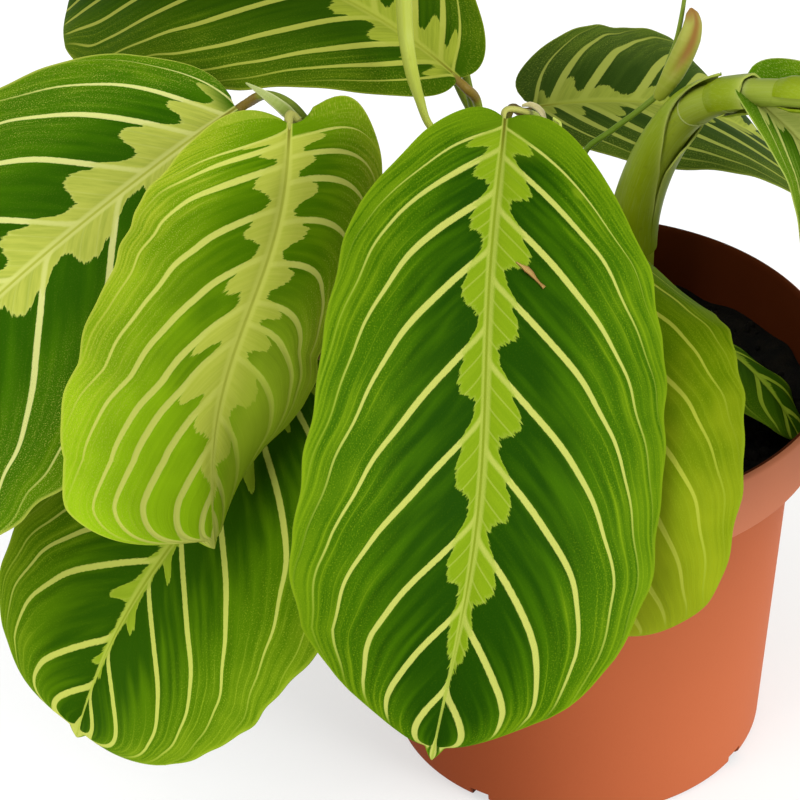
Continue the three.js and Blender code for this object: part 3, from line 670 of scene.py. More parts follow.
# %% Colours of each leaf
FEATHER = ((0.0, 0.9), (0.07, 0.8), (0.18, 0.97), (0.34, 0.97), (0.48, 0.8), (0.6, 0.56), (0.73, 0.42),
           (0.86, 0.46), (0.93, 0.68), (1.0, 0.9))
SPIKY = ((0.0, 0.36), (0.1, 0.3), (0.26, 0.46), (0.38, 1.0), (0.47, 0.7), (0.55, 0.3), (0.74, 0.2),
         (0.9, 0.28), (1.0, 0.36))
USUAL_LOOK = dict(
    gain=1.2, dark=(38, 80, 1), mid=(60, 106, 2), outer=(94, 134, 10), zone=(156, 180, 40),
    vein=(212, 217, 108), zone_mm=8.5, edge=FEATHER, luck=(0.72, 1.2), foot=-0.25, base="mid", fine=0.3,
    lines=0.13, wide=1.0, spots=())
LOOKS = {
    "leaf_front": dict(
        gain=1.45, dark=(35, 78, 1), mid=(70, 117, 2), outer=(120, 159, 13), zone=(150, 182, 26),
        vein=(218, 224, 108), zone_mm=8.2, luck=(0.76, 1.04), base="outer", fine=0.4, lines=0.3,
        spots=((0.112, 0.657, 1.15),)),
    "leaf_front_left_young": dict(
        gain=1.0, dark=(76, 119, 1), mid=(110, 148, 8), outer=(158, 178, 34), zone=(192, 199, 76),
        vein=(210, 215, 100), zone_mm=8.6, tip=(160, 206, 16), ripe_and_painted_light=0.75, fine=0.2, painted_light=(214, 240, 60)),
    "leaf_left": dict(
        gain=0.84, dark=(42, 84, 1), mid=(62, 105, 2), outer=(88, 126, 4), zone=(186, 192, 78),
        vein=(214, 216, 130), zone_mm=12.5, shares=(1.06, 0.6), foot=-3.0, fine=0.1),
    "leaf_back_left": dict(
        gain=1.06, dark=(42, 76, 1), mid=(58, 92, 2), outer=(84, 112, 8), zone=(160, 172, 52),
        vein=(178, 184, 74), zone_mm=8.0, fine=0.1, wide=1.2),
    "leaf_low_left": dict(
        gain=0.88, dark=(44, 84, 1), mid=(81, 121, 3), outer=(117, 149, 16), vein=(200, 207, 92),
        edge=SPIKY),
    "leaf_over_rim": dict(
        gain=1.12, dark=(82, 116, 1), mid=(94, 126, 1), outer=(122, 148, 8), zone=(150, 172, 34),
        vein=(184, 194, 62), zone_mm=6.0, tip=(168, 180, 30), ripe_and_painted_light=0.8),
    "leaf_inside_pot": dict(
        gain=0.42, dark=(40, 68, 2), mid=(54, 84, 5), outer=(70, 98, 10), zone=(104, 126, 26),
        vein=(134, 152, 40), zone_mm=1.6, fine=0.1),
    "leaf_back_right": dict(
        gain=0.6, dark=(42, 64, 14), mid=(56, 78, 20), outer=(78, 100, 24), zone=(146, 156, 58),
        vein=(156, 164, 70), zone_mm=7.0, fine=0.08, wide=1.5),
    "leaf_right": dict(
        gain=0.8, dark=(56, 100, 3), mid=(86, 132, 8), outer=(120, 158, 20), zone=(206, 214, 110),
        vein=(216, 223, 120), zone_mm=10.0),
}
RIB_OLIVE = (150, 158, 50)
RIB_FOOT_BROWN = (112, 104, 28)
UNDERSIDE = (132, 158, 70)
print("leaves with colours of their own:", len(LOOKS))


# %% Read the marks of a blade and lay its textures
class LeafFinish(Finish):
    """The finish of one leaf, with what its layers share. Folds, streaks and lines follow the veins."""

    def __init__(self, name, seed, length):
        super().__init__(name + "_finish")
        self.look = {**USUAL_LOOK, **LOOKS.get(name, {})}
        self.skin = {key: self.tint(self.look[key]) for key in ("dark", "mid", "outer", "zone", "vein")}
        self.length = length
        self.across, self.along, self.half = self.split(self.read("place"))[:3]
        self.number, self.pace, self.under = self.split(self.read("veins"))[:3]
        self.out = self.maths("ABSOLUTE", self.across)
        self.from_rib = self.times(self.out, self.half)
        left = self.maths("GREATER_THAN", self.across, 0.0)
        self.side_seed = self.add(self.times(left, 9.0), 5.0 * seed)
        self.folds = self.texture(self.number, 4.2, 0.07, 1.0)
        self.streaks = self.texture(self.number, 13.0, 0.12, 2.0, 0.6)
        self.lines = self.texture(self.number, 46.0, 0.16, 1.0)
        self.grit = self.texture(self.number, 34.0, 1.1, 3.0, 0.7)
        self.blotches = self.texture(self.along, 9.0, 0.1, 2.0)
        self.dots = self.texture(self.along, 3.2 * length, 3.2, 1.0)
        self.off_small_vein = self.off_line(4.0)

    def tint(self, card):
        return seen(*card, self.look["gain"])

    def texture(self, first, size, out_size, detail, rough=0.5):
        """Noise over the vein number or the way along the rib, and over the distance to the rib."""
        spot = self.vector(self.times(first, size), self.times(self.from_rib, out_size), self.side_seed)
        return self.noise(spot, 1.0, detail, rough)

    def off_line(self, each):
        """Millimetres to the nearest of so many lines from one vein to the next."""
        share = self.maths("FRACT", self.add(self.times(self.number, each), 0.5))
        off = self.maths("ABSOLUTE", self.add(share, -0.5))
        return self.maths("DIVIDE", off, self.times(self.pace, each))


print("textures of a leaf: folds, streaks, lines, grit, blotches and dots")


# %% [markdown]
# ## The layers of the pattern
#
# One long list of nodes could paint the whole leaf, but nobody could follow it. So each layer is a
# function of its own, which takes the colours so far and lays its own over them: the dark panels, the
# fine marks, the pale zone, the side veins, and last the rib and the margin.

# %% Lay the dark panels
def dark_panels(leaf):
    """Dark between the veins, lighter towards the margin and at the foot of the blade."""
    spread = leaf.add(leaf.out, leaf.swing(leaf.folds, 0.85))
    spread = leaf.add(spread, leaf.swing(leaf.streaks, 0.22))
    ridges = leaf.maths("COSINE", leaf.times(leaf.number, 8 * math.pi))
    spread = leaf.add(spread, leaf.times(ridges, leaf.soft_step(leaf.out, 0.5, 0.9, 0.06, 0.02)))
    panel = leaf.mix(leaf.soft_step(spread, 0.1, 0.72), leaf.skin["dark"], leaf.skin["mid"])
    spread = leaf.add(spread, leaf.swing(leaf.blotches, 0.6))
    panel = leaf.mix(leaf.soft_step(spread, 0.62, 1.15), panel, leaf.skin["outer"])
    # Lighter towards the tip: partly the lighter green of younger tissue, partly painted light where the
    # blade curls down into shade.
    if "tip" in leaf.look:
        ripe_and_painted_light = leaf.add(leaf.along, leaf.swing(leaf.blotches, 0.5))
        ripe_and_painted_light = leaf.soft_step(ripe_and_painted_light, 0.35, 1.0, 0.0, leaf.look["ripe_and_painted_light"])
        panel = leaf.mix(ripe_and_painted_light, panel, leaf.tint(leaf.look["tip"]))
    foot = leaf.soft_step(leaf.along, 0.02, 0.085, 0.7, 0.0)
    return leaf.mix(foot, panel, leaf.skin[leaf.look["base"]])


print("first layer: dark panels")


# %% Add fine lines, specks and pale spots
def fine_marks(leaf, panel):
    """Pale lines and specks near the margin, and the few spots of the look."""
    pale = leaf.skin["zone"]
    near_margin = leaf.soft_step(leaf.out, 0.4, 0.75)
    fine = leaf.soft_step(leaf.off_small_vein, 0.05, 0.2, leaf.look["fine"], 0.0)
    fine = leaf.times(fine, leaf.soft_step(leaf.folds, 0.42, 0.6, 0.1, 1.0))
    fine = leaf.times(fine, leaf.soft_step(leaf.pace, 0.16, 0.4, 1.0, 0.0))
    panel = leaf.mix(leaf.times(fine, near_margin), panel, pale)
    hairs = leaf.times(leaf.soft_step(leaf.lines, 0.62, 0.74), leaf.times(near_margin, 0.1))
    panel = leaf.mix(hairs, panel, pale)
    specks = leaf.soft_step(leaf.dots, 0.52, 0.68)
    specks = leaf.times(specks, leaf.soft_step(leaf.out, 0.35, 0.75, 0.05, 0.5))
    specks = leaf.times(specks, leaf.soft_step(leaf.streaks, 0.35, 0.65, 0.3, 1.0))
    panel = leaf.mix(specks, panel, pale)
    for spot_s, spot_v, radius in leaf.look["spots"]:
        down = leaf.times(leaf.add(leaf.along, -spot_s), leaf.length)
        aside = leaf.times(leaf.add(leaf.across, -spot_v), leaf.half)
        away = leaf.maths("SQRT", leaf.add(leaf.times(down, down), leaf.times(aside, aside)))
        away = leaf.add(away, leaf.swing(leaf.dots, 1.2))
        panel = leaf.mix(leaf.soft_step(away, 0.6 * radius, 1.4 * radius, 0.42, 0.0), panel, pale)
    return panel


print("second layer: fine lines, specks and spots")


# %% Grow the pale zone along the rib
def feathery_zone(leaf, panel):
    """The colours with the zone over them, the zone itself, and the millimetres inside its edge."""
    look = leaf.look
    feather = leaf.node("FloatCurve", 1.0, leaf.maths("FRACT", leaf.number))
    points = feather.mapping.curves[0].points
    for place, height in look["edge"][1:-1]:
        points.new(place, height)
    points[0].location = look["edge"][0]
    points[-1].location = look["edge"][-1]
    feather.mapping.update()
    interval = leaf.add(leaf.maths("FLOOR", leaf.number), leaf.times(leaf.side_seed, 3.7))
    luck = leaf.node("TexWhiteNoise", None, interval, noise_dimensions="1D").outputs["Value"]
    reach = leaf.times(feather.outputs[0], leaf.soft_step(luck, 0.0, 1.0, *look["luck"]))
    reach = leaf.times(reach, leaf.soft_step(leaf.along, 0.6, 0.94, look["zone_mm"], 0.0))
    if "shares" in look:
        reach = leaf.times(reach, leaf.soft_step(leaf.across, -0.01, 0.01, *look["shares"]))
    jags = leaf.add(leaf.swing(leaf.grit, 1.8), leaf.swing(leaf.streaks, 2.4))
    inside = leaf.add(leaf.add(reach, jags), leaf.times(leaf.from_rib, -1.0))
    zone = leaf.times(leaf.soft_step(inside, -0.12, 0.25), leaf.soft_step(leaf.along, 0.0, 0.04))
    zone = leaf.times(zone, leaf.soft_step(leaf.number, look["foot"], look["foot"] + 0.3))
    small_veins = leaf.soft_step(leaf.off_small_vein, 0.06, 0.26, look["lines"], 0.0)
    small_veins = leaf.times(small_veins, leaf.soft_step(leaf.number, 1.0, 2.5, 0.15, 1.0))
    shade = leaf.soft_step(leaf.streaks, 0.3, 0.75, 0.0, 0.3)
    colour = leaf.mix(shade, leaf.skin["zone"], leaf.skin["outer"])
    colour = leaf.mix(small_veins, colour, leaf.skin["vein"])
    colour = leaf.mix(leaf.soft_step(inside, 0.2, 0.9, 0.16, 0.0), colour, leaf.skin["vein"])
    return leaf.mix(leaf.times(zone, 0.96), panel, colour), zone, inside


print("third layer: the pale zone, with", len(FEATHER), "points on its edge from vein to vein")


# %% Draw the side veins
def side_veins(leaf, coloured, zone, inside):
    """Crisp veins, softer inside the zone and thinner towards the margin."""
    wide = leaf.look["wide"]
    width = leaf.soft_step(leaf.out, 0.4, 0.95, 0.72 * wide, 0.2 * wide)
    width = leaf.times(width, leaf.soft_step(leaf.number, -0.2, 1.6, 0.45, 1.0))
    width = leaf.times(width, leaf.soft_step(inside, -2.5, 1.5, 1.0, 0.92))
    ragged = leaf.times(leaf.add(leaf.grit, -0.5), leaf.soft_step(leaf.out, 0.1, 0.6, 0.5, 0.2))
    edge = leaf.add(leaf.add(leaf.off_line(1.0), leaf.times(width, -1.0)), ragged)
    crisp = leaf.soft_step(edge, -0.14, 0.1, 1.0, 0.0)
    soft = leaf.soft_step(edge, -0.42, 0.22, 0.9, 0.0)
    vein = leaf.times(leaf.mix(zone, crisp, soft), leaf.soft_step(leaf.out, 0.8, 0.99, 1.0, 0.15))
    vein = leaf.times(vein, leaf.maths("GREATER_THAN", leaf.number, -0.4))
    faded = leaf.maths("MAXIMUM", leaf.times(zone, 0.3), leaf.soft_step(leaf.out, 0.7, 0.95, 0.0, 0.75))
    colour = leaf.mix(faded, leaf.skin["vein"], leaf.skin["zone"])
    return leaf.mix(leaf.times(vein, 0.95), coloured, colour)


print("fourth layer: side veins")


# %% Draw the rib and the margin
def rib_and_margin(leaf, coloured):
    """Two pale bands beside the thin rib, all slimmer towards the tip, and a pale margin."""
    beside = leaf.maths("DIVIDE", leaf.from_rib, leaf.soft_step(leaf.along, 0.55, 0.96, 1.0, 0.22))
    bands = leaf.maths("DIVIDE", beside, leaf.soft_step(leaf.along, 0.0, 0.14, 0.55, 1.0))
    bands = leaf.soft_step(bands, 0.75, 1.5, 0.85, 0.0)
    coloured = leaf.mix(bands, coloured, leaf.mix(0.52, leaf.skin["zone"], leaf.skin["vein"]))
    rib = leaf.soft_step(beside, 0.12, 0.5, 1.0, 0.0)
    rib = leaf.times(rib, leaf.soft_step(leaf.along, 0.7, 0.9, 1.0, 0.0))
    colour = leaf.mix(0.5, leaf.skin["zone"], leaf.tint(RIB_OLIVE))
    foot = leaf.soft_step(leaf.along, 0.0, 0.09, 0.8, 0.0)
    coloured = leaf.mix(rib, coloured, leaf.mix(foot, colour, leaf.tint(RIB_FOOT_BROWN)))
    return leaf.mix(leaf.soft_step(leaf.out, 0.975, 0.996, 0.0, 0.6), coloured, leaf.skin["zone"])


print("last layer: rib and margin")


# %% Put the layers of a leaf together
def leaf_finish(name, seed, length):
    """All layers of one leaf, with painted light over one half towards the tip where its look has some, and
    a paler, duller underside.
    """
    leaf = LeafFinish(name, seed, length)
    panel = fine_marks(leaf, dark_panels(leaf))
    coloured, zone, inside = feathery_zone(leaf, panel)
    coloured = rib_and_margin(leaf, side_veins(leaf, coloured, zone, inside))
    # Painted light: a bright yellow-green wash over one half towards the tip, where the blade lies in shade.
    if "painted_light" in leaf.look:
        painted_light = leaf.soft_step(leaf.across, 0.0, 0.3, 0.06, 0.6)
        painted_light = leaf.times(leaf.soft_step(leaf.along, 0.3, 0.75), painted_light)
        coloured = leaf.mix(painted_light, coloured, leaf.tint(leaf.look["painted_light"]))
    dull = leaf.mix(0.5, coloured, leaf.tint(UNDERSIDE))
    leaf.colour(leaf.mix(leaf.times(leaf.under, 0.8), coloured, dull))
    leaf.gloss(leaf.streaks, 0.55, 0.7)
    leaf.shine(0.01)
    leaf.relief(leaf.add(leaf.times(leaf.folds, 0.6), leaf.times(leaf.streaks, 0.3)), 0.25, 0.6)
    return leaf


print("a leaf has five layers and a paler underside")

# %% [markdown]
# ## Making the blades
#
# Each blade is a closed sheet about half a millimetre thick, with an upper and a lower skin and a
# narrow edge. The real blade is quilted: it rises softly between its side veins and sinks along the
# rib, and the rib stands out below. These forms are in the mesh, and the finish adds only grain.

# %% Close a sheet
def grid_faces(rows, columns):
    """Upper skin, lower skin and edge of a sheet with rows x columns points on each skin."""
    count = rows * columns
    i, j = np.meshgrid(np.arange(rows - 1), np.arange(columns - 1), indexing="ij")
    a = (i * columns + j).ravel()
    middle = (columns - 1) / 2
    side = j.ravel() + 0.5 > middle
    upper = np.stack([a, a + columns, a + columns + 1, a + 1], -1)
    lower = upper[:, ::-1] + count
    ring = [*range(columns - 1), *range(columns - 1, count - 1, columns)]
    ring += [*range(count - 1, count - columns, -1), *range(count - columns, 0, -columns)]
    ring = np.array(ring)
    after = np.roll(ring, -1)
    edge = np.stack([ring, after, after + count, ring + count], -1)
    edge_side = (ring % columns + after % columns) / 2 > middle
    return np.vstack([upper, lower, edge]), np.concatenate([side, side, edge_side])


def make_sheet(name, upper, lower, finish, node, slot, marks, sharp=50):
    """A piece from the upper and lower grids of a thin sheet, with the same marks on both."""
    points = np.concatenate([upper.reshape(-1, 3), lower.reshape(-1, 3)])
    faces, _ = grid_faces(*upper.shape[:2])
    make_piece(name, (points, faces), finish, node, slot, sharp, stem=np.vstack([marks, marks]))


print("faces of a sheet of 3 x 3 points:", len(grid_faces(3, 3)[0]))


# %% Number and quilt the skins of a blade
HALF_THICK, QUILT, GROOVE, KEEL = 0.27, 0.26, 0.3, 0.8


def vein_marks(name, sheet, s, v):
    """Vein numbers and their pace, for the right half and the left. They jump at the rib."""
    starts = VEIN_STARTS.get(name, USUAL_STARTS)
    paths = PATHS.get(name, ("usual", "usual"))
    numbers = [vein_numbers(starts[k], s, np.abs(v), paths[k]) for k in (0, 1)]
    paces = [np.ones(s.shape), np.ones(s.shape)]
    middle = s.shape[1] // 2
    for number, pace, half in zip(numbers, paces, (slice(middle + 1), slice(middle, None))):
        pace[:, half] = pace_over(sheet[:, half], number[:, half])
    return numbers, paces


def quilted_skins(sheet, facing, s, out, from_rib, number):
    """The upper skin, quilted and grooved, and the lower one, which follows it and has the keel."""
    quilt = np.abs(np.sin(np.pi * number)) ** 0.8 * ease(number, -0.6, 0.3)
    quilt = quilt * (1 - out ** 3) * ease(from_rib, 0.3, 4)
    groove = np.exp(-((from_rib / 1.1) ** 2))
    keel = (1.0 - s) * np.exp(-((from_rib / 0.9) ** 2))
    thick = HALF_THICK * (1 - 0.6 * out ** 4)
    top = sheet + facing * (thick + QUILT * quilt - GROOVE * groove)[..., None]
    bottom = sheet - facing * (thick - 0.2 * quilt + KEEL * keel)[..., None]
    return np.concatenate([top.reshape(-1, 3), bottom.reshape(-1, 3)])


print("a blade is", 2 * HALF_THICK, "mm thick near its rib")


# %% Build one blade
FINE_GRIDS = {"leaf_front": (220, 141), "leaf_front_left_young": (170, 111), "leaf_left": (150, 101),
              "leaf_back_left": (140, 101), "leaf_low_left": (140, 101), "leaf_over_rim": (130, 91)}
PLAIN_GRID = (90, 61)


def build_blade(name, leaf, rows, columns, seed):
    """A blade on rows x columns points, with its rows closer together at both ends."""
    steps = np.linspace(0, 1, rows)
    along = 0.0008 + 0.9977 * (0.4 * steps + 0.6 * (0.5 - 0.5 * np.cos(np.pi * steps)))
    s, v = np.meshgrid(along, np.linspace(-1, 1, columns), indexing="ij")
    out = np.abs(v)
    sheet, facing, reach = blade_sheet(leaf, s, v)
    numbers, paces = vein_marks(name, sheet, s, v)
    number = np.where(v > 0, numbers[1], numbers[0])
    points = quilted_skins(sheet, facing, s, out, out * reach, number)

    # Every corner of a face keeps the numbers of its own half of the leaf
    faces, is_left = grid_faces(rows, columns)
    corners = faces.ravel()
    on_left = np.repeat(is_left, 4)
    flat = corners % s.size
    pairs = (numbers, paces)
    veins = [np.where(on_left, left.ravel()[flat], right.ravel()[flat]) for right, left in pairs]
    veins = np.stack([*veins, corners >= s.size], -1)
    place = np.stack([v, s, reach], -1).reshape(-1, 3)
    place = np.vstack([place, place])
    finish = leaf_finish(name, seed, leaf["length"])
    slot = "young_leaf" if name in ("leaf_front_left_young", "leaf_over_rim") else "leaf"
    make_piece(name + "_blade", (points, faces), finish, name, slot, 60, place=place, veins=veins)


print("leaves on a fine grid:", len(FINE_GRIDS))

# %% Build every blade
for order, (name, leaf) in enumerate(LEAVES.items()):
    build_blade(name, leaf, *FINE_GRIDS.get(name, PLAIN_GRID), order + 1)
print("blade triangles:", sum(2 * len(piece.data.polygons) for piece in pieces))

# %% [markdown]
# ## The canes
#
# The canes are the plant's thick stems. They are ringed where old leaves sat, a little swollen at
# each ring, and olive green with darker flecks. They are tubes along the routes of the packed model.

# %% Give stems and stalks their finish
STRAW_AND_HIGHLIGHT = (0.42, 0.48, 0.16, 1.0)


def stem_finish(name, *cards):
    """A stem's finish from four cards: its foot, its top, its joints and its flecks."""
    low, high, joint, fleck = (seen(*card) for card in cards)
    stem = Finish(name, 0.45)
    stem.shine(0.14)
    share, around, swollen = stem.split(stem.read("stem"))[:3]
    grain = stem.noise(stem.vector(stem.times(share, 6.0), stem.times(around, 5.0), 0.0), 4.0, 4.0, 0.6)
    fibres = stem.noise(stem.vector(stem.times(share, 9.0), stem.times(around, 34.0), 0.0), 1.0, 2.0, 0.6)
    spots = stem.noise(stem.position(), 500.0, 3.0, 0.7)
    green = stem.mix(stem.soft_step(stem.add(share, stem.swing(grain, 0.5)), 0.1, 0.9), low, high)
    # Pale streaks along the fibres: partly the straw colour of the fibres, partly a painted highlight.
    straw_and_highlight = stem.mix(0.3, high, STRAW_AND_HIGHLIGHT)
    green = stem.mix(stem.soft_step(fibres, 0.45, 0.75, 0.0, 0.4), green, straw_and_highlight)
    green = stem.mix(stem.soft_step(fibres, 0.2, 0.42, 0.45, 0.0), green, low)
    green = stem.mix(stem.soft_step(spots, 0.58, 0.8, 0.0, 0.3), green, fleck)
    stem.colour(stem.mix(swollen, green, joint))
    stem.gloss(grain, 0.34, 0.6)
    stem.relief(stem.add(stem.times(grain, 0.7), stem.times(spots, 0.3)), 0.15, 0.6)
    return stem


def grid_marks(share, around, joint):
    """Share along, turn around and joint colour for every point of a grid."""
    return np.stack(np.broadcast_arrays(share, around, joint), -1).reshape(-1, 3)


def tube_marks(shares, sides, joint):
    """The same for a tube, where the turn counts from one side round to the other and back."""
    around = np.abs(np.linspace(-1, 1, sides, endpoint=False))
    return grid_marks(np.asarray(shares)[:, None], around, np.asarray(joint)[:, None])


cane_finish = stem_finish("cane_finish", (104, 116, 3, 0.34), (140, 154, 60, 0.62), (172, 180, 110, 0.66),
                          (84, 92, 4, 0.5))
print("marks of a tube with 2 rings of 4 points:", tube_marks((0, 1), 4, (0, 0)).shape)

# %% Build the canes
CANES = {
    "stem_right": dict(
        points=((13, 38, 70), (12.4, 37, 100), (13.8, 36.5, 121), (18.4, 36, 136), (24.6, 34, 147),
                (32, 28, 155), (42, 20, 161.5), (56, 10, 167), (76, 2, 173), (99, -6, 180)),
        radii=(5.4, 5.4, 5.4, 5.2, 4.8, 4.2, 3.4, 3.2, 3.0, 2.8, 2.4)),
    "stem_left": dict(
        points=((-20, -5, 70), (-23, -7, 100), (-33, -11, 130), (-47, -16, 157), (-56, -19, 173)),
        radii=(3.2, 3.0, 2.8, 2.6, 2.3)),
    "stem_front": dict(
        points=((3, -3, 70), (3, -3, 100), (1, -3, 125), (-2, -5, 145), (-5, -9, 160), (-6, -13, 172)),
        radii=(3.2, 3.0, 2.8, 2.5, 2.2)),
    "stem_middle": dict(
        points=((-8, 18, 70), (-9, 18, 95), (-13, 17, 120), (-18, 15, 142)), radii=(3.2, 3.0, 2.8, 2.4)),
    "stem_back": dict(
        points=((-6, 38, 70), (-7, 41, 92), (-11, 47, 108), (-15, 53, 117)), radii=(3.2, 3.0, 2.7, 2.3)),
}
CANE_SIDES = 32


def radius_of(cane, share):
    """A cane's radius at a share of its length."""
    radii = cane["radii"]
    return np.interp(share, np.linspace(0, 1, len(radii)), radii)


def cane_ridges(share, turn):
    """Shallow ridges that wind up the cane."""
    return 1 + 0.012 * np.sin(5 * turn + 9 * share) + 0.008 * np.sin(11 * turn - 14 * share)


for name, cane in CANES.items():
    route = cane["route"] = Route(cane["points"])
    shares = np.linspace(0, 1, int(route.length * 1.6))
    swell = np.zeros(len(shares))
    for leaf in LEAVES.values():
        if leaf["stem"] == name:
            away = (shares - leaf["node"]) * route.length
            swell = np.maximum(swell, np.exp(-((away / 1.6) ** 2)))
    radii = radius_of(cane, shares) * (0.97 + 0.06 * swell)
    domed, radii = rounded_end(shares, radii, route.length)
    joint = np.interp(domed, shares, swell) ** 4 * 0.5
    solid = skin(tube(route, domed, radii, CANE_SIDES, cane_ridges))
    make_piece(name + "_cane", solid, cane_finish, name, "stem", stem=tube_marks(domed, CANE_SIDES, joint))
print("canes:", len(CANES))

# %% [markdown]
# ## Leaf stalks and their sheaths
#
# A leaf's stalk leaves the cane inside a thin sheath that wraps the cane, open on one side, and ends
# in a thick joint that turns the blade to the light. The joint is short, round and brownish. The
# stalk is a tube along the leaf's own route. The sheath is a thin sheet, bent round the cane's route,
# because a cut tube would have no thickness at its open edges.

# %% Build the stalks
STALK_SHARES = (1.3, 1, 0.95, 0.9, 0.85, 0.85, 0.95, 1.0, 0.9, 0.6)
STALK_RADIUS = 1.15
STALK_SIDES = 20
stalk_finish = stem_finish("stalk_finish", (92, 112, 14, 0.7), (118, 132, 30, 0.7), (112, 92, 30, 0.7),
                           (100, 86, 24, 0.7))
pale_stalk_finish = stem_finish("pale_stalk_finish", (118, 132, 40, 0.8), (140, 150, 60, 0.8),
                                (150, 150, 72, 0.7), (120, 112, 50, 0.8))


def stalk_route(leaf):
    """From inside the cane, through the leaf's own points, to just under the foot of its blade."""
    along, _, face = (axis[0] for axis in rib_axes(leaf, np.zeros(1)))
    base = np.array(leaf["base"]) - face * 0.9
    start = []
    if leaf["stem"]:
        start = [CANES[leaf["stem"]]["route"].at(max(leaf["node"] - 0.04, 0))]
    return Route([*start, *leaf["via"], base - along * 2.5, base + along * 3])


def joint_share(shares, length):
    """1 on the thick joint under the blade and 0 elsewhere."""
    from_end = (1 - shares) * length
    return ease(from_end, 15, 11) * ease(from_end, 0, 4)


def build_stalk(name, leaf):
    """A slim tube with a thick, faintly ringed joint at its upper end."""
    route = stalk_route(leaf)
    length = route.length
    shares = np.linspace(0, 1, max(int(length * 1.8), 24))
    radii = leaf.get("stalk", STALK_RADIUS) * np.interp(shares, np.linspace(0, 1, 10), STALK_SHARES)
    radii = radii * (1 + 0.03 * np.sin(shares * length * 4.2) * joint_share(shares, length))
    shares, radii = rounded_end(shares, radii, length)
    marks = tube_marks(shares, STALK_SIDES, joint_share(shares, length))
    finish = pale_stalk_finish if name in ("leaf_front", "leaf_front_left_young") else stalk_finish
    solid = skin(tube(route, shares, radii, STALK_SIDES))
    make_piece(name + "_stalk", solid, finish, name, "leaf", stem=marks)


print("the front leaf's stalk is", round(stalk_route(LEAVES["leaf_front"]).length, 1), "mm long")

# %% Wrap the sheaths round the canes
SHEATH_LENGTH = 12
SHEATH_ROWS, SHEATH_COLUMNS = 16, 37
sheath_finish = stem_finish("sheath_finish", (92, 106, 2, 0.34), (108, 124, 12, 0.42), (150, 160, 70, 0.5),
                            (78, 88, 4, 0.5))


def build_sheath(name, leaf):
    """A thin sleeve round the cane, open at one side, with a thin edge that stands off at the top."""
    cane = CANES[leaf["stem"]]
    route = cane["route"]
    shares = np.linspace(max(leaf["node"] - SHEATH_LENGTH / route.length, 0), leaf["node"], SHEATH_ROWS)
    centres, _, across, over = route.frames(shares)
    toward = stalk_route(leaf).at(0.35) - route.at(leaf["node"])
    lean = math.atan2(np.dot(toward, over[-1]), np.dot(toward, across[-1]))
    turns = np.linspace(-0.86 * math.pi, 0.86 * math.pi, SHEATH_COLUMNS)
    up = np.linspace(0, 1, SHEATH_ROWS)[:, None]
    edge = np.abs(turns / turns[-1])[None, :]
    base = radius_of(cane, shares)[:, None]
    skins = []
    for lift in (0.42, 0.95):
        radius = base + lift * (0.25 + 0.75 * ease(up, 0, 0.3)) + 0.8 * up ** 3 * (0.3 + 0.5 * edge ** 2)
        radius = np.minimum(radius, base + 1.5) + 0.12 * np.sin(7 * turns)[None, :] * up
        skins.append(centres[:, None] + spokes((turns + lean)[None, :], across, over) * radius[..., None])
    marks = tube_marks(up.ravel(), SHEATH_COLUMNS, (up ** 8).ravel())
    make_sheet(name + "_sheath", skins[1], skins[0], sheath_finish, name, "leaf", marks)


for name, leaf in LEAVES.items():
    build_stalk(name, leaf)
    if leaf["stem"]:
        build_sheath(name, leaf)
print("pieces so far:", len(pieces))

# %% [markdown]
# ## The old sheath on the thick cane
#
# Low on the thick cane sits the sheath of an older leaf. It wraps the whole cane at its foot, opens
# in a narrow V at the front, and runs out into a free tip on top of the bend. It is a sheet of its
# own round the cane's route: each row only says between which turns it lies, counted in degrees from
# the side that faces the camera's place.

# %% Wrap the old sheath round the cane
def square_to(along, toward):
    """The part of each vector that is square to the direction along, as long as 1."""
    return unit(toward - along * (toward * along).sum(-1, keepdims=True))


def front_and_side(centres, along):
    """Two vectors across a route: one to the side where the camera stands, and one square to it."""
    front = square_to(along, unit(np.array(CAMERA_PLACE) - centres))
    return front, np.cross(along, front)


cane = CANES["stem_right"]
up = np.linspace(0, 1, 60)
shares = 0.23 + 0.32 * up
centres, along, _, _ = cane["route"].frames(shares)
front, side = front_and_side(centres, along)
left_edge = np.interp(up, (0, 0.25, 0.45, 0.6, 0.75, 0.9, 1.0), (48, 46, 30, 4, -30, -62, -84))
right_edge = np.interp(up, (0, 0.25, 0.45, 0.58, 0.7, 0.85, 1.0), (48, 49, 48, 62, 110, 200, 268))
spread = np.linspace(0, 1, 49)
turn = np.radians(right_edge[:, None] + (left_edge + 360 - right_edge)[:, None] * spread)
rim = 1 - np.minimum(spread, 1 - spread) * 2
up = up[:, None]
skins = []
for lift in (0.15, 0.6):
    radius = radius_of(cane, shares)[:, None] + lift + 0.9 * ease(up, 0.6, 1)
    radius = radius + 0.35 * ease(up, 0.2, 0.6) * rim ** 6 + 0.12 * np.sin(3 * turn + 7 * up)
    skins.append(centres[:, None] + spokes(turn, front, side) * radius[..., None])
marks = grid_marks(up, 0.5 + 0.5 * np.sin(turn), rim ** 20 * ease(up, 0.15, 0.3))
make_sheet("stem_right_old_sheath", skins[1], skins[0], sheath_finish, "stem_right", "stem", marks)
print("old sheath from z", round(float(centres[0, 2])), "to", round(float(centres[-1, 2])), "mm")

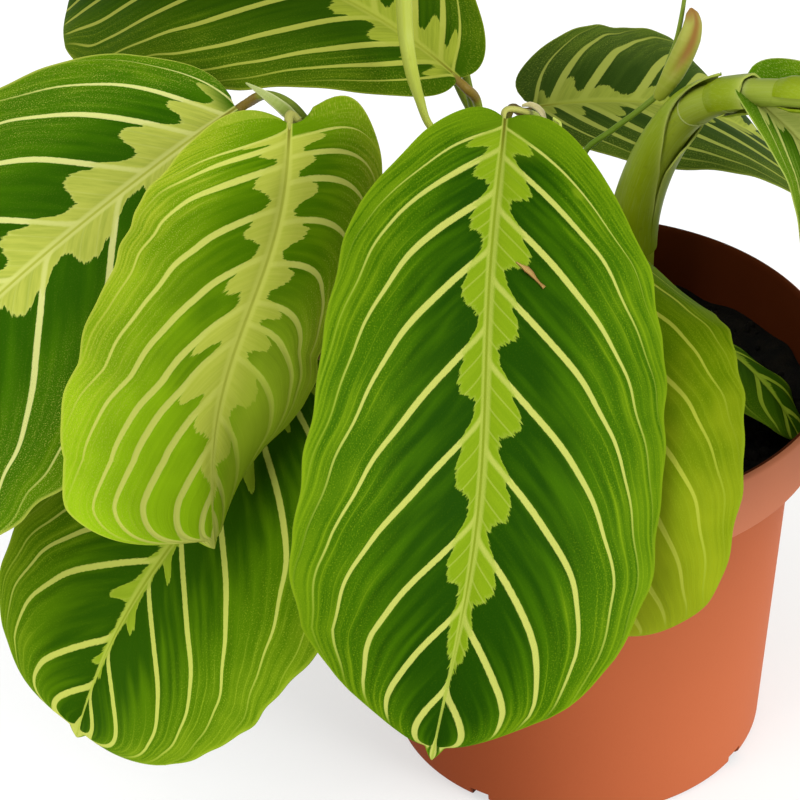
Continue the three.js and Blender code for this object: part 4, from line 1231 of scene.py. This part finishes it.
# %% Put thin scars round the cane
SCARS = ((0.49, 0.5), (0.56, 0.4), (0.84, 0.1))
SCAR_RINGS = 120
for number, (share, tilt) in enumerate(SCARS):
    centre, along, across, over = (axis[0] for axis in cane["route"].frames([share]))
    radius = radius_of(cane, share) * 0.985
    ring = []
    for turn in round_turns(48):
        outward = across * math.cos(turn) + over * math.sin(turn)
        ring.append(centre + outward * radius + along * radius * tilt * math.cos(turn + 2))
    rings = tube(Route([*ring, ring[0]]), np.linspace(0, 1, SCAR_RINGS), np.full(SCAR_RINGS, 0.2), 8)
    marks = tube_marks(np.ones(SCAR_RINGS), 8, np.full(SCAR_RINGS, 0.7))
    make_piece("stem_right_scar_" + str(number), skin(rings), cane_finish, "stem_right", "stem", stem=marks)
print("scars:", len(SCARS))

# %% [markdown]
# ## Small things on the leaves
#
# A dry brown flake lies on the front leaf, a papery scale sits at its joint, and a pointed bud scale
# stands behind the young leaf. Each is a thin sheet with a spindle outline, laid on a short route.
# The flake's route is worked out on the blade itself, so it lies on the leaf from every side.

# %% Lay the flake and the scales
def build_scale(name, points, ups, widths, hollow, finish, node):
    """A thin spindle along points, with its upper side towards ups and bent up at its margins."""
    shares = np.linspace(0, 1, 40)
    centres, along, _, _ = Route(points).frames(shares)
    ups = square_to(along, np.asarray(ups, float))
    side = np.cross(ups, along)
    half = np.interp(shares, np.linspace(0, 1, len(widths)), widths)[:, None] / 2
    across = np.linspace(-1, 1, 9)
    rise = hollow * half * across ** 2
    sheet = centres[:, None] + side[:, None] * (half * across)[..., None] + ups[:, None] * rise[..., None]
    thick = ups[:, None] * 0.16
    marks = grid_marks(shares[:, None], 0.0, np.abs(across) ** 6)
    make_sheet(name, sheet + thick, sheet - thick, finish, node, "leaf", marks, 60)


dry = stem_finish("dry_scale_finish", (184, 152, 86), (158, 122, 62), (138, 98, 48), (118, 84, 40))
papery = stem_finish("papery_finish", (176, 166, 110), (186, 176, 128), (200, 192, 146), (150, 110, 80))
bud = stem_finish("bud_scale_finish", (128, 146, 52, 0.7), (156, 166, 100, 0.7), (196, 202, 140, 0.8),
                  (110, 126, 50, 0.7))
flake_path = np.array([(0.232, 0.143), (0.24, 0.19), (0.247, 0.225), (0.256, 0.262), (0.266, 0.305)])
flake_heights = np.array([0.5, 0.6, 0.75, 0.6, 0.5])
sheet, facing, _ = blade_sheet(LEAVES["leaf_front"], flake_path[:, 0], flake_path[:, 1])
build_scale("leaf_front_dry_flake", sheet + facing * flake_heights[:, None], facing[2],
            (0.2, 0.5, 1.35, 1.1, 0.6, 0.45, 0.8), 0.7, dry, "leaf_front")
build_scale("leaf_front_joint_scale",
            [(-10.6, -27.4, 186.6), (-8.8, -27, 186.4), (-6.9, -27.2, 185.2), (-5.6, -28, 183.6)],
            (0, -0.3, 1), (0.5, 1.3, 1.6, 1.4, 0.5), 0.6, papery, "leaf_front")
build_scale("leaf_left_bud_scale",
            [(-59.8, -19.5, 177), (-63.5, -18, 180), (-67.1, -16, 181.9), (-71.3, -12.5, 182.8)],
            (0.1, -0.5, 1), (2.6, 3.0, 2.4, 1.4, 0.2), 0.5, bud, "leaf_left")
print("pieces so far:", len(pieces))

# %% [markdown]
# ## The pot
#
# The pot is one thin plastic moulding, turned in shape, with a deeper band round its rim and eight
# drain holes with notches at the foot. It is turned here from its section, as on a lathe, and the
# holes are cut with a Boolean modifier. Its plastic is terracotta coloured, satin and slightly mottled.

# %% Draw the section of the pot's wall
WALL_SECTION = ((0, 0), (43.3, 0), (44.3, 1), (51, 84.2), (57, 84.2), (57.6, 84.8), (60, 101.6),
                (59.1, 102.5), (58.45, 102.5), (58, 101.6), (55.6, 86.2), (49, 86.2), (42.3, 2.4), (0, 2.4))
ROUNDINGS = {2: 0.6, 3: 0.5, 4: 0.4, 5: 0.4, 6: 0.6, 7: 0.6, 8: 0.4, 9: 0.5, 10: 0.8, 11: 0.8, 12: 1.2}
USUAL_ROUNDING = 0.3
LONGEST_STEP = 4


def rounded_section(corners, roundings):
    """The section with each corner turned into a small arc, and long runs split up."""
    corners = [np.array(corner, float) for corner in corners]
    line = [corners[0]]
    for k in range(1, len(corners) - 1):
        before, here, after = corners[k - 1:k + 2]
        room = 0.45 * min(np.linalg.norm(here - before), np.linalg.norm(after - here))
        cut = min(roundings.get(k, USUAL_ROUNDING), room)
        start = here + unit(before - here) * cut
        end = here + unit(after - here) * cut
        for share in np.linspace(0, 1, 5):
            line.append((1 - share) ** 2 * start + 2 * share * (1 - share) * here + share ** 2 * end)
    line.append(corners[-1])
    fine = []
    for a, b in zip(line, line[1:]):
        count = max(int(np.linalg.norm(b - a) / LONGEST_STEP), 1)
        fine += [a + (b - a) * k / count for k in range(count)]
    return np.array(fine + [line[-1]])


section = rounded_section(WALL_SECTION, ROUNDINGS)
print("section points:", len(section))


# %% Turn the section into a wall
def turned_ring(radius, height, turns):
    """Points of a ring round the pot's axis."""
    return np.stack(np.broadcast_arrays(radius * np.cos(turns), radius * np.sin(turns), height), -1)


POT_SIDES = 160
rings = turned_ring(section[1:-1, 0, None], section[1:-1, 1, None], round_turns(POT_SIDES))
points, faces = skin(rings)
wall = [tuple(face) for face in faces[:-2]]
below, above, last = len(points), len(points) + 1, (len(rings) - 1) * POT_SIDES
points = np.vstack([points, [0, 0, 0], [0, 0, 2.4]])
wall += [((k + 1) % POT_SIDES, k, below) for k in range(POT_SIDES)]
wall += [(last + k, last + (k + 1) % POT_SIDES, above) for k in range(POT_SIDES)]
print("faces of the wall:", len(wall))

# %% Mix the pot's plastic
plastic = Finish("terracotta_plastic", 0.5)
x, y, z = plastic.split(plastic.position())[:3]
cloud = plastic.noise(plastic.position(), 38.0, 3.0, 0.6)
speck = plastic.noise(plastic.position(), 900.0, 2.0, 0.7)
body = plastic.mix(cloud, seen(176, 84, 40), seen(188, 94, 50))
body = plastic.mix(plastic.soft_step(speck, 0.55, 0.75, 0.0, 0.35), body, seen(164, 80, 42))
# Painted light and shade: below the band the body is painted darker towards the left side and lighter
# towards the right, where the lamp falls.
painted_side_light = plastic.mix(plastic.soft_step(x, -0.055, 0.05), seen(112, 38, 4), seen(202, 114, 76))
body = plastic.mix(plastic.soft_step(z, 0.0825, 0.0855, 0.6, 0.0), body, painted_side_light)
# Painted light: the band is painted lighter, standing in for light where the leaves above shade it.
body = plastic.mix(plastic.soft_step(z, 0.0825, 0.0855, 0.0, 0.8), body, seen(224, 140, 104))
from_axis = plastic.maths("SQRT", plastic.add(plastic.times(x, x), plastic.times(y, y)))


def within(slope, radius):
    """1 inside a cone round the pot's axis that has this radius at the floor."""
    return plastic.maths("LESS_THAN", from_axis, plastic.add(plastic.times(z, slope), radius))


low_inner = plastic.times(within(6.7 / 83.2, 0.0433), plastic.maths("LESS_THAN", z, 0.0843))
band_inner = plastic.times(within(2.4 / 16.8, 0.0445), plastic.maths("GREATER_THAN", z, 0.0855))
# Painted shade: the inner wall is painted a darker brown, for the shade inside the pot.
inside = plastic.mix(cloud, seen(92, 38, 12), seen(108, 48, 18))
plastic.colour(plastic.mix(plastic.maths("MAXIMUM", low_inner, band_inner), body, inside))
plastic.gloss(cloud, 0.5, 0.62)
plastic.shine(0.03)
plastic.relief(speck, 0.05, 0.5)
pot = make_piece("pot_shell", (points, wall), plastic, "pot", "pot", 40)
print("pot corners:", len(pot.data.vertices))

# %% Shape a knife for the drain holes
DRAINS = 8
DRAIN_AT, DRAIN_RADIUS = 37, 4.2
NOTCH_OUT, NOTCH_HALF = 57, 2.5


def knife_part(kind, turn):
    """One prism of a knife: round through the base, or square through the foot of the wall."""
    if kind == "hole":
        angles = round_turns(28)
        flat = np.stack([DRAIN_AT + DRAIN_RADIUS * np.cos(angles), DRAIN_RADIUS * np.sin(angles)], -1)
        height = 4.8
    else:
        flat = np.array([(DRAIN_AT, -NOTCH_HALF), (NOTCH_OUT, -NOTCH_HALF),
                         (NOTCH_OUT, NOTCH_HALF), (DRAIN_AT, NOTCH_HALF)])
        height = 2.6
    flat = flat @ np.array([[math.cos(turn), math.sin(turn)], [-math.sin(turn), math.cos(turn)]])
    count = len(flat)
    solid = [(*p, -height) for p in flat] + [(*p, height) for p in flat]
    sides = [(k, (k + 1) % count, count + (k + 1) % count, count + k) for k in range(count)]
    return solid, sides + [tuple(range(count - 1, -1, -1)), tuple(range(count, 2 * count))]


print("corners of a round knife:", len(knife_part("hole", 0)[0]))

# %% Cut the drain holes
for kind in ("hole", "notch"):
    points, faces = [], []
    for k in range(DRAINS):
        solid, sides = knife_part(kind, math.radians(-120 + 360 / DRAINS * k))
        faces += [tuple(corner + len(points) for corner in face) for face in sides]
        points += solid
    knife_mesh = bpy.data.meshes.new(kind)
    knife_mesh.from_pydata([tuple(value * MM for value in point) for point in points], [], faces)
    knife = bpy.data.objects.new(kind, knife_mesh)
    scene.collection.objects.link(knife)
    cut = pot.modifiers.new(kind, "BOOLEAN")
    cut.object = knife
    cut.operation = "DIFFERENCE"
    cut.solver = "EXACT"
    cut.use_self = kind == "notch"
    bpy.context.view_layer.update()
    trimmed = bpy.data.meshes.new_from_object(pot.evaluated_get(bpy.context.evaluated_depsgraph_get()))
    pot.modifiers.clear()
    pot.data = trimmed
    bpy.data.objects.remove(knife)
pot.data.set_sharp_from_angle(angle=math.radians(35))
print("pot corners after cutting:", len(pot.data.vertices))

# %% [markdown]
# ## The peat
#
# Peat is dark, crumbly and never flat. The body of the soil follows the packed model, its top is a
# fine grid pushed up and down by layered noise, and loose crumbs and bark chips lie pressed into it.

# %% Mix the peat's finish
peat = Finish("peat_finish", 0.95)
coarse = peat.noise(peat.position(), 260.0, 4.0, 0.65)
fine = peat.noise(peat.position(), 1500.0, 3.0, 0.7)
dark = peat.mix(peat.soft_step(coarse, 0.35, 0.7), seen(7, 6, 4), seen(26, 20, 13))
peat.colour(peat.mix(peat.soft_step(fine, 0.62, 0.78, 0.0, 0.7), dark, seen(70, 54, 36)))
peat.gloss(fine, 0.85, 1.0)
peat.shine(0.15)
peat.relief(peat.add(peat.times(coarse, 0.6), peat.times(fine, 0.4)), 0.6, 1.0)
print("peat finish ready")


# %% Heap the peat
def heap(x, y):
    """The height of the peat's top, in millimetres, without its roughness."""
    return 88.5 + 1.3 * (np.sin(x * 0.31 + 1.3 * np.sin(y * 0.17)) * np.cos(y * 0.27) - 0.4)


SOIL_SECTION = ((0.5, 2.7), (20, 2.7), (41.7, 2.7), (44.1, 30), (46.3, 58), (48.4, 86.0), (48.4, 86.5),
                (54.9, 86.5))
SOIL_RADIUS = 55.0
TOP_RINGS = 46
turns = round_turns(150)
grid = [turned_ring(radius, height, turns) for radius, height in SOIL_SECTION]
for k in range(TOP_RINGS):
    x, y, _ = turned_ring(SOIL_RADIUS * (1 - k / TOP_RINGS) + 0.4, 0, turns).T
    rough = np.array([noise.fractal(Vector((a * 0.22, b * 0.22, 3.0)), 0.7, 2.1, 5) for a, b in zip(x, y)])
    grid.append(np.stack([x, y, heap(x, y) + 0.75 * rough * min(1, k / 3)], -1))
bed = skin(np.array(grid))
make_piece("peat_bed", bed, peat, "soil", "soil", 80)
print("peat points:", len(bed[0]))

# %% Scatter crumbs
CRUMBS = 420
dice = np.random.default_rng(7)
shape = bmesh.new()
bmesh.ops.create_icosphere(shape, subdivisions=2, radius=1.0)
template = bpy.data.meshes.new("crumb")
shape.to_mesh(template)
shape.free()
ball = np.array([vertex.co for vertex in template.vertices])
ball_faces = np.array([tuple(face.vertices) for face in template.polygons])
taken = [(*cane["points"][0][:2], cane["radii"][0]) for cane in CANES.values()] + [(22, 16, 1.5)]
crumbs = []
while len(crumbs) < CRUMBS:
    x, y = dice.uniform(-54, 54, 2)
    size = min(dice.gamma(2.0, 0.35) + 0.35, 2.0)
    if math.hypot(x, y) > 54.3 - size:
        continue
    if any(math.hypot(x - a, y - b) < radius + size + 1.0 for a, b, radius in taken):
        continue
    stretch = dice.uniform(0.55, 1.3, 3) * size
    lumps = np.array([noise.noise(Vector(p) * 1.3 + Vector((x, y, 0))) for p in ball])
    lumpy = ball * (1 + 0.28 * lumps)[:, None]
    spin = Matrix.Rotation(dice.uniform(0, 6.3), 3, "Z") @ Matrix.Rotation(dice.uniform(-0.6, 0.6), 3, "X")
    crumbs.append((lumpy * stretch) @ np.array(spin).T + [x, y, float(heap(x, y)) + 0.15 * size])
faces = np.vstack([ball_faces + k * len(ball) for k in range(CRUMBS)])
make_piece("peat_crumbs", (np.vstack(crumbs), faces), peat, "soil", "soil", 80)
print("crumbs:", len(crumbs))

# %% [markdown]
# ## The flower stalks
#
# Two thin flower stalks stand up between the leaves, each with a folded bract. One is fresh and
# yellow green, the other is drying, with brown streaks. They are tubes that widen and flatten.

# %% Build the flower stalks
FLOWER_STALKS = {
    "flower_stalk_front": dict(
        stem="stem_front", node=0.76, radii=(0.8, 0.7, 0.65, 0.7, 0.9, 1.5, 1.75, 1.8, 1.2, 0.5),
        points=((-10, -9, 160), (-22, -11, 163), (-31.5, -8, 169.2), (-34.1, -5, 174.8),
                (-36.1, 1, 178.5), (-37.4, 6, 184), (-38, 10, 200), (-39, 12, 216))),
    "flower_stalk_back": dict(
        stem="stem_right", node=0.2, radii=(0.7, 0.7, 0.7, 0.7, 0.75, 0.8, 0.8, 0.62, 0.6, 0.5),
        points=((6.4, 37.4, 119), (1.9, 38.5, 126), (1.4, 39, 133.5), (7.7, 39, 139.6), (15.1, 39, 146.2),
                (18.6, 39.6, 149.8), (20.6, 41.4, 156.9), (22.4, 42.4, 162.2), (23.6, 44, 168.3),
                (24.4, 46, 174))),
}
FLOWER_SIDES = 28
green_stalk = stem_finish("flower_stalk_finish", (90, 126, 14, 0.6), (126, 148, 40, 0.9), (120, 140, 40),
                          (96, 120, 20))
strap = stem_finish("strap_finish", (160, 172, 50), (176, 186, 70), (168, 110, 84), (150, 150, 50))


def pleats(share, turn):
    """Two furrows where the stalk widens to its bract."""
    return 1 - 0.16 * ease(share, 0.4, 0.6) * np.maximum(np.cos(2 * turn), 0) ** 4


for name, stalk in FLOWER_STALKS.items():
    route = Route([CANES[stalk["stem"]]["route"].at(stalk["node"]), *stalk["points"]])
    shares = np.linspace(0, 1, int(route.length * 1.8))
    radii = np.interp(shares, np.linspace(0, 1, 10), stalk["radii"])
    shares, radii = rounded_end(shares, radii, route.length)
    marks = tube_marks(shares, FLOWER_SIDES, ease(shares, 0.8, 1.0) * 0.9)
    fresh = name == "flower_stalk_front"
    marks[:, 2] *= ease(marks[:, 1], 0.55, 0.8) if fresh else 0
    solid = skin(tube(route, shares, radii, FLOWER_SIDES, pleats))
    make_piece(name + "_stalk", solid, strap if fresh else green_stalk, name, "flower_stalk", stem=marks)
print("flower stalks:", len(FLOWER_STALKS))

# %% Fold the drying bract
route = Route([(18.0, 38.2, 148.6), (20.4, 38.8, 152.6), (22.8, 39.6, 157.2), (25.0, 40.6, 162.4),
               (26.0, 41.8, 167), (25.6, 42.6, 170.4)])
shares = np.linspace(0, 1, 70)
half_width = np.interp(shares, (0, 0.04, 0.12, 0.3, 0.5, 0.7, 0.85, 0.95, 1),
                       (0.9, 1.5, 1.9, 2.5, 2.7, 2.6, 2.1, 1.4, 0.3))[:, None]
centres, along, _, _ = route.frames(shares)
front, side = front_and_side(centres, along)
turns = np.linspace(-math.pi, math.pi, 40, endpoint=False)[None, :]
share = shares[:, None]


def fold_near(start, width):
    """1 along a line that winds up the bract from this turn, and less beside it."""
    return np.exp(-(((turns + start - 1.1 * share) / width) ** 2))


crease = 1 - 0.3 * fold_near(0.5, 0.35) * ease(share, 0.1, 0.4)
crumple = 1 + 0.05 * np.sin(5 * turns + 8 * share) * ease(share, 0.4, 0.9)
outward = spokes(turns, 0.62 * front, side)
rings = centres[:, None] + outward * (half_width * crease * crumple)[..., None]
streak = fold_near(0.35, 0.5) * ease(share, 0.2, 0.6)
marks = grid_marks(share, 0.3, np.maximum(streak, ease(share, 0.8, 1)))
bract = stem_finish("bract_finish", (168, 180, 52), (190, 192, 84), (156, 112, 50, 0.85), (140, 96, 44))
make_piece("flower_stalk_back_bract", skin(rings), bract, "flower_stalk_back", "flower_stalk", stem=marks)
print("pieces:", len(pieces))

# %% Count the triangles
print("triangles:", sum(len(polygon.vertices) - 2 for piece in pieces for polygon in piece.data.polygons))
